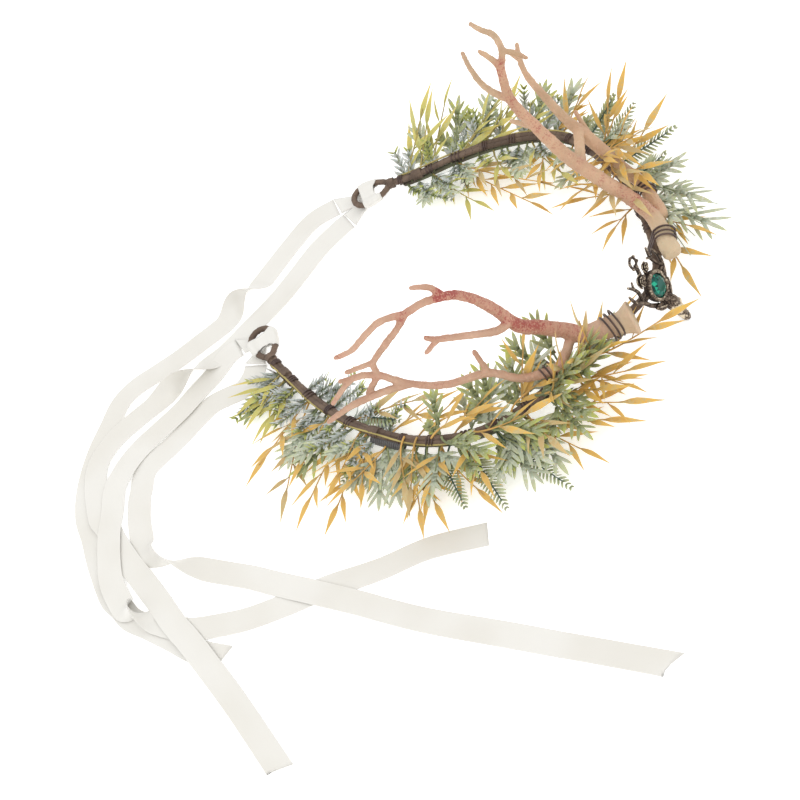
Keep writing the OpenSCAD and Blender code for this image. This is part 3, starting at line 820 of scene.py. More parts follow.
TAPE = Tape("crepe tape")
ANTLER = Antler("peach antler")
TAN_ANTLER = Antler("tan antler", peach=srgb(199, 167, 134), tan=srgb(182, 152, 120))
BRONZE = Bronze("antique bronze")
STONE = Stone("teal stone")
SATIN = Satin("ivory satin")
LACQUER = Lacquer("dark wire")
FLOOR = Paper("pale floor")


# GEOMETRY NODES

class Geometry(Nodes):
    """Short hand for a geometry tree with named inputs."""

    def __init__(self, name: str, inputs: dict[str, str]) -> None:
        """Starts a tree.

        Args:
            name: the tree's name.
            inputs: kind of each input after the geometry, by name.
        """
        tree = bpy.data.node_groups.new(name, "GeometryNodeTree")
        tree.is_modifier = True
        tree.interface.new_socket("Geometry", in_out="INPUT", socket_type="NodeSocketGeometry")
        for key, kind in inputs.items():
            tree.interface.new_socket(key, in_out="INPUT", socket_type="NodeSocket" + kind)
        tree.interface.new_socket("Geometry", in_out="OUTPUT", socket_type="NodeSocketGeometry")
        super().__init__(tree)
        self.start = self.put("NodeGroupInput")

    def given(self, name: str) -> NodeSocket:
        """The socket of a named input."""
        return self.start.outputs[name]

    def named(self, name: str, kind: str = "FLOAT") -> NodeSocket:
        """A named attribute as a field."""
        node = self.put("GeometryNodeInputNamedAttribute", {"Name": name}, data_type=kind)
        return node.outputs["Attribute"]

    def store(self, geometry: object, name: str, value: object, domain: str = "POINT") -> NodeSocket:
        """Keeps a value as a named attribute of the geometry."""
        inputs = {"Geometry": geometry, "Name": name, "Value": value}
        return self.get("GeometryNodeStoreNamedAttribute", inputs, data_type="FLOAT", domain=domain)

    def scaled(self, vector: object, factor: object) -> NodeSocket:
        """A vector times a value."""
        return self.get("ShaderNodeVectorMath", {0: vector, "Scale": factor}, operation="SCALE")

    def random(self, low: object, high: object, seed: object) -> NodeSocket:
        """A chance value for each element, between two."""
        inputs = {2: low, 3: high, "Seed": seed}
        return self.put("FunctionNodeRandomValue", inputs, data_type="FLOAT").outputs[1]

    def vector(self, operation: str, a: object, b: object = (0.0, 0.0, 0.0)) -> NodeSocket:
        """Result of a sum on two vectors."""
        return self.get("ShaderNodeVectorMath", {0: a, 1: b}, operation=operation)

    def polished(self, geometry: object) -> NodeSocket:
        """The geometry shaded smooth."""
        return self.get("GeometryNodeSetShadeSmooth", {"Geometry": geometry, "Shade Smooth": True})

    def close(self, geometry: object) -> NodeTree:
        """Ends the tree in Realize Instances and Set Material."""
        real = self.get("GeometryNodeRealizeInstances", {0: geometry})
        dressed = self.get("GeometryNodeSetMaterial", {"Geometry": real, "Material": self.given("Material")})
        self.put("NodeGroupOutput", {0: dressed})
        return self.tree


def scatter_tree() -> NodeTree:
    """Leaves on points: each point has its own turn and size; a seed varies them a little."""
    g = Geometry("leaf scatter", {"Leaf": "Object", "Size Spread": "Float", "Roll Spread": "Float",
                                  "Seed": "Int", "Material": "Material"})
    leaf = g.put("GeometryNodeObjectInfo", {"Object": g.given("Leaf")}).outputs["Geometry"]
    turn = g.get("FunctionNodeEulerToRotation", {0: g.named("turn", "FLOAT_VECTOR")})
    seed, spread, tilt = g.given("Seed"), g.given("Size Spread"), g.given("Roll Spread")
    size = g.random(g.minus(1.0, spread), g.plus(1.0, spread), seed)
    roll = g.random(g.times(tilt, -1.0), tilt, seed)
    own = g.get("FunctionNodeAxisAngleToRotation", {"Axis": (1.0, 0.0, 0.0), "Angle": roll})
    spun = g.get("FunctionNodeRotateRotation", {0: turn, 1: own}, rotation_space="LOCAL")
    scale = g.scaled(g.named("size", "FLOAT_VECTOR"), size)
    placed = g.get("GeometryNodeInstanceOnPoints", {"Points": g.given("Geometry"), "Instance": leaf,
                                                    "Rotation": spun, "Scale": scale})
    return g.close(g.store(placed, "tint", g.random(0.0, 1.0, seed), "INSTANCE"))


def winding_tree() -> NodeTree:
    """Tape wound round a wire: laps of a given pitch stand proud of a tube that follows the curve."""
    g = Geometry("tape winding", {"Radius": "Float", "Pitch": "Float", "Ridge": "Float", "Sides": "Int",
                                  "Step": "Float", "Material": "Material"})
    fine = g.get("GeometryNodeResampleCurve", {"Curve": g.given("Geometry"), "Length": g.given("Step")},
                 mode="LENGTH")
    run = g.put("GeometryNodeSplineParameter").outputs["Length"]
    fine = g.store(fine, "run", run)
    round_ = g.put("GeometryNodeSplineParameter").outputs["Factor"]
    profile = g.get("GeometryNodeCurvePrimitiveCircle", {"Resolution": g.given("Sides"),
                                                         "Radius": g.given("Radius")}, mode="RADIUS")
    profile = g.store(profile, "round", round_)
    tube = g.get("GeometryNodeCurveToMesh", {"Curve": fine, "Profile Curve": profile, "Fill Caps": True})
    turns = g.plus(g.math("DIVIDE", g.named("run"), g.given("Pitch")), g.named("round"))
    lap = g.math("FRACT", turns)
    tube = g.store(tube, "lap", lap)
    wide = g.times(g.named("round"), 0.006)
    rise = g.times(g.minus(1.0, g.named("lap")), g.given("Ridge"))
    normal = g.get("GeometryNodeInputNormal")
    tube = g.get("GeometryNodeSetPosition", {"Geometry": tube, "Offset": g.scaled(normal, rise)})
    tube = g.store(tube, "round", wide)
    return g.close(g.polished(tube))


def coil_tree() -> NodeTree:
    """Wire coiled round every spline of the curve, wider across than up."""
    g = Geometry("wire coil", {"Turns": "Float", "Across": "Float", "Up": "Float", "Wire": "Float",
                               "Count": "Int", "Material": "Material"})
    fine = g.get("GeometryNodeResampleCurve", {"Curve": g.given("Geometry"), "Count": g.given("Count")},
                 mode="COUNT")
    share = g.put("GeometryNodeSplineParameter").outputs["Factor"]
    angle = g.times(g.times(share, g.given("Turns")), math.tau)
    tangent = g.get("GeometryNodeInputTangent")
    across = g.vector("NORMALIZE", g.vector("CROSS_PRODUCT", tangent, (0.0, 0.0, 1.0)))
    up = g.vector("CROSS_PRODUCT", across, tangent)
    a = g.scaled(across, g.times(g.math("COSINE", angle), g.given("Across")))
    b = g.scaled(up, g.times(g.math("SINE", angle), g.given("Up")))
    offset = g.vector("ADD", a, b)
    wound = g.get("GeometryNodeSetPosition", {"Geometry": fine, "Offset": offset})
    profile = g.get("GeometryNodeCurvePrimitiveCircle", {"Resolution": 7, "Radius": g.given("Wire")},
                    mode="RADIUS")
    tube = g.get("GeometryNodeCurveToMesh", {"Curve": wound, "Profile Curve": profile, "Fill Caps": True})
    return g.close(g.polished(tube))


def bead_tree() -> NodeTree:
    """Beads set evenly along a closed curve."""
    g = Geometry("bead row", {"Count": "Int", "Bead": "Float", "Material": "Material"})
    points = g.get("GeometryNodeCurveToPoints", {"Curve": g.given("Geometry"), "Count": g.given("Count")},
                   mode="COUNT")
    bead = g.get("GeometryNodeMeshIcoSphere", {"Radius": g.given("Bead"), "Subdivisions": 2})
    placed = g.get("GeometryNodeInstanceOnPoints", {"Points": points, "Instance": bead})
    worn = g.random(0.45, 1.0, 5)
    placed = g.store(placed, "worn", worn, "INSTANCE")
    return g.close(g.polished(placed))


class Tree(Enum):
    """Geometry trees that the sub-assemblies share."""

    SCATTER = "scatter"
    WINDING = "winding"
    COIL = "coil"
    BEADS = "beads"


TREES: dict[Tree, NodeTree] = {}


def grow(made: Object, tree: Tree, **inputs: object) -> Object:
    """Runs a geometry tree on an object and keeps the plain mesh.

    Args:
        made: a mesh or curve object.
        tree: which tree.
        inputs: its named inputs, with _ for a space.

    Returns:
        A mesh object of the same name, without modifiers.
    """
    group = TREES[tree]
    names = {item.name: item.identifier for item in group.interface.items_tree if item.in_out == "INPUT"}
    modifier = made.modifiers.new(tree.value, "NODES")
    modifier.node_group = group
    for key, value in inputs.items():
        modifier[names[key.replace("_", " ")]] = value
    mesh, name = evaluated(made), made.name
    made.modifiers.clear()
    bpy.data.objects.remove(made)
    return linked(name, mesh)


def curve_of(name: str, lines: Sequence[Sequence[Vector]], closed: bool = False) -> Object:
    """A curve object of straight-pointed splines, in the row frame."""
    data = bpy.data.curves.new(name, "CURVE")
    data.dimensions = "3D"
    for line in lines:
        spline = data.splines.new("POLY")
        spline.points.add(len(line) - 1)
        for point, at in zip(spline.points, line):
            point.co = (*at, 1.0)
        spline.use_cyclic_u = closed
    return linked(name, data)


# STAGE

@dataclass
class Studio:
    """Pale floor, soft light and the camera at the photograph's angle."""

    azimuth: float = math.radians(-45.969)
    elevation: float = math.radians(50.2222)
    roll: float = math.radians(-30.3635)
    distance: float = 0.8233
    target: tuple[float, float, float] = (-0.025395, -0.007774, 0.020)
    lens: float = 91.4575
    shift: tuple[float, float] = (-0.06, -0.07)
    floor_size: float = 6.0
    lamps: Sequence[tuple[str, Row, float, float]] = (("key", (-0.9, -0.3, 1.5), 7.5, 1.0),
                                                      ("fill", (0.9, -0.9, 1.2), 2.0, 1.4),
                                                      ("back", (0.4, 1.2, 1.3), 2.5, 1.2))

    def camera(self) -> Object:
        """Sets the scene's camera."""
        data = bpy.data.cameras.new("camera")
        data.lens, data.sensor_width = self.lens, 36.0
        data.shift_x, data.shift_y = self.shift
        data.clip_start, data.clip_end = 0.01, 50.0
        made = linked("camera", data)
        a, e, r = self.azimuth, self.elevation, self.roll
        back = Vector((math.sin(a) * math.cos(e), -math.cos(a) * math.cos(e), math.sin(e)))
        right = Vector((math.cos(a), math.sin(a), 0))
        up = back.cross(right)
        x = math.cos(r) * right + math.sin(r) * up
        y = -math.sin(r) * right + math.cos(r) * up
        turn = Matrix((x, y, back)).transposed()
        made.matrix_world = Matrix.Translation(Vector(self.target) + back * self.distance) @ turn.to_4x4()
        bpy.context.scene.camera = made
        return made

    def floor(self) -> Object:
        """Lays the floor."""
        half = self.floor_size / 2
        shell = Shell()
        shell.add([Vector((-half, -half, 0)), Vector((half, -half, 0)), Vector((half, half, 0)),
                   Vector((-half, half, 0))], [(0, 1, 2, 3)])
        made = shell.build("floor")
        FLOOR.lay_on(made)
        return made

    def lights(self) -> None:
        """Hangs soft lamps and sets a bright surround."""
        bpy.context.scene.view_settings.view_transform = "Standard"
        world = bpy.data.worlds.new("surround")
        bpy.context.scene.world = world
        world.use_nodes = True
        world.node_tree.nodes["Background"].inputs[0].default_value = WHITE
        world.node_tree.nodes["Background"].inputs[1].default_value = 1.0
        for name, place, power, size in self.lamps:
            lamp = bpy.data.lights.new(name, "AREA")
            lamp.energy, lamp.size = power, size
            made = linked(name, lamp)
            made.location = place
            made.rotation_euler = (-Vector(place)).to_track_quat("-Z", "Y").to_euler()


# RIBBONS

@dataclass
class Ribbon:
    """A satin tail: its rows and where it turns over.

    A row is x and y in mm, and the CAD tail's height where it doesn't lie on the table.
    """

    name: str
    rows: Sequence[Row]
    twists: Sequence[tuple[float, float]] = ()
    slant: float = 0.0
    width: float = 10.5
    thick: float = 0.26
    step: float = 1.4
    seed: float = 0.0
    cuts: Row = (-1.0, -0.96, -0.5, 0.0, 0.5, 0.96, 1.0)
    rest: float = 0.3
    cad_rest: float = 0.5
    sink: float = 0.62

    def line(self) -> list[Vector]:
        """Centre line in mm, at even steps."""
        lifts = [(r[2] - self.cad_rest) * self.sink if len(r) > 2 else 0.0 for r in self.rows]
        fine = smooth([Vector((r[0], r[1], self.rest + lift)) for r, lift in zip(self.rows, lifts)], 8)
        marks = lengths(fine)
        count = round(marks[-1] / self.step)
        out, k = [], 0
        for i in range(count + 1):
            s = marks[-1] * i / count
            while k < len(marks) - 2 and marks[k + 1] < s:
                k += 1
            out.append(fine[k].lerp(fine[k + 1], (s - marks[k]) / (marks[k + 1] - marks[k])))
        return out

    def build(self) -> Object:
        line = self.line()
        marks = lengths(line)
        run = tangents([Vector((p.x, p.y, 0)) for p in line])
        half, t = self.width / 2, self.thick / 2
        points: list[Vector] = []
        along: list[float] = []
        across: list[float] = []
        edge: list[float] = []
        for i, at in enumerate(line):
            roll = sum(math.pi * ease((marks[i] - c) / reach + 0.5) for c, reach in self.twists)
            sway = 0.10 * noise.noise(Vector((marks[i] * 0.02, self.seed, 0))) * ease(marks[i] / 20)
            roll += sway
            side = Vector((-run[i].y, run[i].x, 0))
            out = side * math.cos(roll) + UP * math.sin(roll)
            face = run[i].cross(out).normalized() * -1
            lift = half * abs(math.sin(roll)) * 0.96
            lift += 0.5 * max(0.0, noise.noise(Vector((marks[i] * 0.03, self.seed + 7, 0))))
            middle = at + Vector((0, 0, lift))
            lag = run[i] * self.slant if i == len(line) - 1 else Vector()
            for layer in (1, -1):
                for c in self.cuts:
                    points.append(RING.table(middle + out * half * c - lag * c + face * t * layer))
                    along.append(marks[i] * MM)
                    across.append(c * half * MM)
                    edge.append(abs(c))
        shell = Shell()
        shell.strip(points, len(self.cuts), run=along, round=across, edge=edge)
        made = shell.build(self.name + "_satin")
        tidy_normals(made)
        SATIN.lay_on(made)
        settle(made, [self.name])
        return made


def tidy_normals(made: Object) -> None:
    """Turns all faces outwards."""
    work = bmesh.new()
    work.from_mesh(made.data)
    bmesh.ops.recalc_face_normals(work, faces=work.faces)
    work.to_mesh(made.data)
    work.free()


RIGHT_INNER = [[-32.2, 111.2, 1.8], [-37, 115, 1.8], [-48, 118, 1.8], [-57, 122, 1.8], [-67, 126, 1.8],
    [-76, 131, 1.8], [-85, 136, 1.8], [-93, 139, 2.2], [-101, 140, 3.1], [-109, 140, 3.1],
    [-120, 136, 3.1], [-127, 134, 3.1], [-134, 131, 3.1], [-142, 127, 3.1], [-150, 122, 3.1],
    [-157, 115, 2.6], [-162, 108, 1.9], [-163, 97, 1.8], [-164, 88, 1.8], [-164, 78, 1.8],
    [-160, 66, 1.8], [-154, 53, 1], [-145, 39], [-135, 25], [-124, 6],
    [-112, -11], [-102, -33]]
RIGHT_OUTER = [[-40.2, 99.5, 1.7], [-45, 99, 1.1], [-52, 101], [-56, 106], [-61, 112],
    [-68, 116], [-77, 120], [-85, 124], [-94, 129], [-100, 130],
    [-107, 128], [-111, 127], [-120, 123], [-128, 118], [-135, 112],
    [-138, 103], [-137, 91], [-137, 76], [-137, 60, 0.7], [-138, 49, 1.8],
    [-139, 27, 1.8], [-140, 10, 1.7], [-141, -4], [-142, -22], [-142, -52], [-142, -80],
    [-142, -100], [-142, -120]]
LEFT_OUTER = [[46.6, 94.2], [38, 103], [25, 108], [12, 112], [2, 115],
    [-8, 119], [-17, 122], [-24, 126], [-32, 132], [-41, 139],
    [-50, 147], [-58, 154], [-67, 158], [-78, 158], [-90, 158],
    [-100, 157], [-109, 155], [-117, 152], [-124, 148], [-132, 141],
    [-141, 134], [-150, 126], [-157, 119], [-160, 113], [-164, 106],
    [-166, 96], [-169, 83], [-172, 71], [-172, 58]]
LEFT_INNER = [[39.6, 84.9], [35, 88], [23, 94], [10, 98], [-4, 102.5],
    [-15, 107.5], [-22, 111], [-30, 114.5], [-38, 119], [-46, 126],
    [-56, 132], [-64, 139, 0.8], [-73, 145, 1.8], [-83, 151, 1.8], [-92, 154, 1.8],
    [-100, 154, 1.8], [-108, 151, 1.8], [-116, 146, 1.8], [-123, 141, 1.8], [-127, 135, 1.8],
    [-133, 128, 1.8], [-139, 120, 1.8], [-147, 108, 2.2], [-155, 96, 3.1], [-163, 85, 3.1],
    [-169, 75, 3.1], [-177, 63, 2.6], [-188, 47, 1], [-199, 32], [-211, 16]]


def make_ribbons() -> list[Object]:
    """Lays the four tails."""
    return [Ribbon("ribbon_left_outer", LEFT_OUTER, [(62, 30)], slant=2, seed=1.0).build(),
            Ribbon("ribbon_left_inner", LEFT_INNER, [(104, 40)], slant=2, seed=2.0).build(),
            Ribbon("ribbon_right_inner", RIGHT_INNER, [(152, 22)], seed=3.0).build(),
            Ribbon("ribbon_right_outer", RIGHT_OUTER, [(122, 44)], slant=4, seed=4.0).build()]


# BAND

RIGHT_ARM = [[-37, 92], [-49, 74], [-59, 55], [-67, 34], [-71, 10], [-68, -12], [-59, -29], [-45, -42],
    [-30, -51], [-16, -60], [-4, -68], [7, -73]]
LEFT_ARM = [[57, 69], [63, 56], [72, 42], [80, 26], [85, 8], [85, -8], [79, -22], [70, -35], [58, -49],
    [43, -60], [30, -68], [18, -73]]
BAND_Z = 3.0
STEM_DROP = 3.3
# The end loops: wire, length, width, how much narrower at the neck, and each loop's heading in degrees
LOOP_WIRE = 1.25
LOOP_LEN = 17.0
LOOP_WIDE = 11.0
LOOP_TAPER = 0.25
RIGHT_HEADING = 41.0
LEFT_HEADING = 126.0


def in_plane(points: Sequence[Row]) -> list[Vector]:
    """Points of the band's plane at the band's height."""
    return [Vector((p[0], p[1], BAND_Z)) for p in points]


RIGHT_LINE = smooth(in_plane(RIGHT_ARM), 4)
LEFT_LINE = smooth(in_plane(LEFT_ARM), 4)
BAND_LINE = smooth(in_plane(RIGHT_ARM + LEFT_ARM[::-1]), 6)


def to_row(points: Iterable[Row]) -> list[Vector]:
    """Ring points in mm as row points in metres."""
    return [RING.row(p) for p in points]


@dataclass
class Band:
    """Two taped wires side by side, a loop at each end, and wire bindings."""

    strand: float = 1.14
    apart: float = 0.8
    pitch: float = 3.4
    ridge: float = 0.16
    bindings: Sequence[float] = (6, 20, 33, 47, 60, 74, 88, 101, 116, 129, 143, 158)
    collars: Sequence[float] = (0.6, 14, 74, 134)

    def loop(self, neck: Row, heading: float) -> list[Vector]:
        """Centre line of an end loop, in ring mm, from one side of the neck to the other."""
        h, steps, gap = math.radians(heading), 24, 8
        out = []
        for k in range(steps + 1):
            a = math.radians(gap + (360 - 2 * gap) * k / steps)
            u = LOOP_LEN * (1 - math.cos(a)) / 2
            w = LOOP_WIDE / 2 * math.sin(a) * (1 - LOOP_TAPER * math.cos(a))
            out.append(Vector((neck[0] + u * math.cos(h) - w * math.sin(h),
                               neck[1] + u * math.sin(h) + w * math.cos(h), BAND_Z)))
        return out

    def strands(self) -> list[list[Vector]]:
        """Centre lines of the two wires, which lie side by side and turn slowly round each other."""
        run, marks = tangents(BAND_LINE), lengths(BAND_LINE)
        out: list[list[Vector]] = [[], []]
        for at, t, s in zip(BAND_LINE, run, marks):
            side = beside(t)
            a = 0.5 * math.sin(s / 23) + 0.25 * math.sin(s / 9 + 1)
            shift = side * math.cos(a) * self.apart + UP * math.sin(a) * self.apart
            out[0].append(at + shift)
            out[1].append(at - shift)
        return out

    @staticmethod
    def guide(line: Sequence[Vector], middle: float, half: float) -> list[Vector]:
        """A short straight guide about a place on an arm, in the row frame."""
        return to_row([walk(line, max(middle - half, 0.0))[0], walk(line, middle + half)[0]])

    def build(self) -> list[Object]:
        """Makes the wires, loops, bindings and collars."""
        wires = [to_row(line) for line in self.strands()]
        tape = TAPE.make()
        body = grow(curve_of("band_wires", wires), Tree.WINDING, Radius=self.strand * MM,
                    Pitch=self.pitch * MM, Ridge=self.ridge * MM, Sides=14, Step=0.45 * MM, Material=tape)
        loops = [to_row(self.loop(RIGHT_ARM[0], RIGHT_HEADING)), to_row(self.loop(LEFT_ARM[0], LEFT_HEADING))]
        ends = grow(curve_of("end_loops", loops), Tree.WINDING, Radius=LOOP_WIRE * MM, Pitch=2.6 * MM,
                    Ridge=self.ridge * MM, Sides=12, Step=0.45 * MM, Material=tape)
        guides = [self.guide(line, s, 1.1 + 0.5 * (k % 3))
                  for line in (RIGHT_LINE, LEFT_LINE) for k, s in enumerate(self.bindings)]
        wound = grow(curve_of("band_bindings", guides), Tree.COIL, Turns=2.5, Across=2.2 * MM, Up=1.7 * MM,
                     Wire=0.36 * MM, Count=42, Material=LACQUER.make())
        collars = [self.guide(line, s, 2.2) for line in (RIGHT_LINE, LEFT_LINE) for s in self.collars]
        lapped = grow(curve_of("tape_collars", collars), Tree.WINDING, Radius=2.25 * MM, Pitch=2.0 * MM,
                      Ridge=0.22 * MM, Sides=18, Step=0.4 * MM, Material=tape)
        for made in (body, ends, lapped):
            settle(made, ["band"])
        settle(wound, ["band"])
        return [body, ends, wound, lapped]


# GARLANDS

class Spray(Enum):
    """Kinds of sprays."""

    WILLOW = "willow"
    MILLER = "miller"
    JUNIPER = "juniper"
    FERN = "fern"
    PALE = "pale"
    TAN = "tan"
    FRINGE = "fringe"


# The longest sprays of each arm, in the order in which they grow: place along the arm, side angle,
# rise angle and length
RIGHT_ROWS = {
    Spray.WILLOW: [[32, 75, 2, 37], [32, 50, 0, 56], [56, 69, 0, 44], [68, 74, 0, 43], [68, 54, 2, 31],
        [56, -33, 8, 40], [92, 62, 0, 39], [92, 52, -2, 38], [140, -34, 45, 30], [140, 43, -6, 41],
        [140, 68, -8, 36], [152, 54, -7, 38], [164, 51, -3, 30], [176, 21, -3, 37], [164, 62, -4, 22],
        [104, 47, -4, 35], [20, 69, -3, 18]],
    Spray.MILLER: [[20, 98, 0, 22], [44, 78, 2, 25], [56, 91, 2, 26], [80, 69, -2, 28], [104, -100, 34, 15],
        [128, -98, 35, 19], [128, -72, 38, 21], [128, 74, -3, 31], [140, -56, 44, 19], [152, 91, 6, 28],
        [164, 38, 28, 21], [164, -70, 46, 24], [140, 84, -5, 29], [128, 58, 4, 29], [80, 50, 0, 31]],
    Spray.JUNIPER: [[8, 75, 0, 30], [8, 100, 8, 15], [32, 88, 5, 20], [32, -49, 14, 14], [44, -50, 14, 22],
        [20, 60, 12, 16]],
    Spray.FERN: [[56, -22, 3, 28], [116, 66, -3, 40], [128, 64, -6, 46], [104, 62, -2, 36]]}
LEFT_ROWS = {
    Spray.WILLOW: [[8, 53, 31, 32], [20, 43, 32, 33], [32, 18, 22, 33], [44, 15, 30, 24], [20, -63, 2, 40],
        [32, -56, 1, 62], [32, -46, 6, 60], [68, -48, 5, 37], [80, 46, 36, 23], [104, 112, 29, 25],
        [152, 49, -2, 22], [164, 24, -8, 21], [128, -100, 4, 17], [140, -49, 6, 17], [104, 98, 31, 27]],
    Spray.MILLER: [[20, -75, 4, 18], [20, -110, 3, 15], [32, 62, 31, 22], [140, 34, 0, 42],
        [128, 27, 4, 40], [68, 76, 18, 20], [92, 75, 15, 20], [56, -68, 5, 21], [128, 58, 8, 22]],
    Spray.JUNIPER: [[8, 100, 29, 15], [8, -47, 3, 34], [32, -79, 3, 24], [44, 80, 25, 18], [20, 70, 28, 14],
        [68, 95, 20, 16]],
    Spray.FERN: [[104, 92, 14, 27], [116, 77, 4, 32], [44, 50, 25, 22]]}

# Short sprays that fill the belt along the band: kind, count, then ranges of s, side, rise and length,
# and how far under the band they root (less than nothing is above it)
RIGHT_FILL = (
    (Spray.JUNIPER, 13, (6, 78), (62, 112), (-3, 9), (12, 22), 3.3),
    (Spray.JUNIPER, 9, (22, 80), (-80, -34), (2, 14), (10, 20), 3.3),
    (Spray.WILLOW, 3, (6, 26), (60, 100), (0, 8), (12, 18), 2.4),
    (Spray.PALE, 6, (34, 92), (56, 106), (-2, 10), (13, 22), 2.6),
    (Spray.FERN, 4, (36, 122), (64, 104), (-6, 4), (16, 26), 3.6),
    (Spray.TAN, 2, (88, 98), (64, 96), (-2, 6), (18, 24), -1.9),
    (Spray.WILLOW, 4, (44, 112), (60, 100), (-4, 10), (18, 28), 2.6),
    (Spray.WILLOW, 3, (70, 120), (-64, -30), (6, 22), (16, 26), 2.2),
    (Spray.MILLER, 4, (78, 170), (46, 112), (-2, 12), (16, 26), 2.6),
    (Spray.MILLER, 3, (96, 176), (-92, -36), (10, 34), (18, 28), 1.6),
    (Spray.WILLOW, 4, (114, 182), (34, 96), (-3, 12), (20, 30), 2.4),
    (Spray.MILLER, 4, (98, 174), (-24, 34), (6, 16), (18, 26), -1.9),
    (Spray.WILLOW, 5, (100, 180), (-30, 30), (8, 22), (18, 28), -1.9),
    (Spray.WILLOW, 4, (148, 178), (30, 100), (56, 72), (24, 32), 0.0),
    (Spray.MILLER, 3, (146, 166), (-4, 40), (36, 52), (22, 27), 0.0),
    (Spray.MILLER, 4, (88, 128), (56, 112), (-6, 2), (12, 17), 3.3))
LEFT_FILL = (
    (Spray.JUNIPER, 9, (6, 84), (54, 104), (8, 32), (14, 24), 2.6),
    (Spray.JUNIPER, 8, (8, 74), (-104, -48), (0, 10), (10, 20), 3.3),
    (Spray.PALE, 5, (18, 112), (50, 104), (8, 30), (12, 22), 2.2),
    (Spray.WILLOW, 5, (12, 84), (24, 84), (18, 36), (16, 26), 2.2),
    (Spray.PALE, 4, (26, 112), (-96, -44), (0, 12), (12, 20), 3.0),
    (Spray.WILLOW, 3, (40, 96), (-80, -40), (0, 10), (16, 26), 3.3),
    (Spray.FERN, 3, (88, 130), (60, 108), (6, 26), (16, 26), 2.6),
    (Spray.WILLOW, 2, (96, 128), (56, 110), (8, 32), (16, 24), 2.2),
    (Spray.PALE, 2, (112, 150), (24, 96), (0, 18), (14, 22), 2.2),
    (Spray.WILLOW, 1, (112, 124), (-96, -44), (2, 12), (14, 22), 3.0),
    (Spray.WILLOW, 5, (120, 130), (-60, 60), (50, 64), (23, 28), -16.2),
    (Spray.WILLOW, 3, (132, 140), (-50, 40), (40, 56), (21, 25), -13.2),
    (Spray.FRINGE, 1, (140, 141), (34, 38), (0, 2), (36, 40), 1.0))


class LeafShape(Enum):
    """Outlines of the moulded leaves: half width at shares of the length."""

    WILLOW = ((0.0, 0.08), (0.12, 0.14), (0.26, 0.4), (0.4, 0.5), (0.56, 0.4), (0.78, 0.17), (1.0, 0.0))
    LOBE = ((0.0, 0.46), (0.2, 0.42), (0.45, 0.42), (0.65, 0.42), (0.85, 0.27), (1.0, 0.0))
    NEEDLE = ((0.0, 0.42), (0.3, 0.5), (0.65, 0.36), (1.0, 0.0))
    LEAFLET = ((0.0, 0.3), (0.25, 0.48), (0.7, 0.42), (0.92, 0.24), (1.0, 0.0))


def leaf_template(shape: LeafShape, fold: float, droop: float) -> Object:
    """One leaf along X, a metre long and a metre wide, which the scatter scales.

    Args:
        shape: its outline.
        fold: rise of its rims, as a share of their distance from the rib.
        droop: fall of its tip, in leaf widths.

    Returns:
        A hidden object.
    """
    shell = Shell()
    points: list[Vector] = []
    along: list[float] = []
    across: list[float] = []
    cuts = shape.value
    for t, half in cuts[:-1]:
        fall = -droop * t * t
        points += [Vector((t, -half, fall + fold * half)), Vector((t, 0, fall + 0.10)),
                   Vector((t, half, fall + fold * half)), Vector((t, 0, fall - 0.05))]
        along += [t] * 4
        across += [1.0, 0.0, 1.0, 0.0]
    points.append(Vector((1, 0, -droop)))
    along.append(1.0)
    across.append(0.6)
    rows = len(cuts) - 1
    faces = lattice(rows, 4)
    tip, base = 4 * rows, 4 * (rows - 1)
    faces += [(base + k, base + (k + 1) % 4, tip) for k in range(4)]
    faces.append((3, 2, 1, 0))
    shell.add(points, faces, along=along, across=across)
    made = shell.build("leaf_" + shape.name.lower())
    tidy_normals(made)
    for edge in made.data.edges:
        a, b = sorted(edge.vertices)
        edge.use_edge_sharp = b == tip or (b - a) % 4 == 0
    made.hide_render = made.hide_viewport = True
    return made


@dataclass
class LeafBed:
    """Points where leaves of one shape and finish grow."""

    shape: LeafShape
    places: list[Vector] = field(default_factory=list)
    turns: list[Vector] = field(default_factory=list)
    sizes: list[Vector] = field(default_factory=list)

    def plant(self, base: Vector, direction: Vector, face: Vector, length: float, width: float) -> None:
        """Adds a leaf.

        Args:
            base: its foot, in the row frame.
            direction: where it points.
            face: roughly where its upper side looks.
            length: in mm.
            width: in mm.
        """
        x = direction.normalized()
        z = (face - x * face.dot(x)).normalized()
        turn = Matrix((x, z.cross(x), z)).transposed()
        self.places.append(base)
        self.turns.append(Vector(turn.to_euler()))
        self.sizes.append(Vector((length, width, width)) * MM)

    def build(self, name: str, template: Object, finish: Finish, seed: int) -> Object:
        """Scatters the leaves and returns them as one mesh."""
        mesh = bpy.data.meshes.new(name)
        mesh.from_pydata([tuple(p) for p in self.places], [], [])
        for key, series in (("turn", self.turns), ("size", self.sizes)):
            layer = mesh.attributes.new(key, "FLOAT_VECTOR", "POINT")
            layer.data.foreach_set("vector", [c for v in series for c in v])
        made = linked(name, mesh)
        roll = 0.15 if self.shape is LeafShape.LOBE else 0.5
        return grow(made, Tree.SCATTER, Leaf=template, Size_Spread=0.12, Roll_Spread=roll, Seed=seed,
                    Material=finish.make())


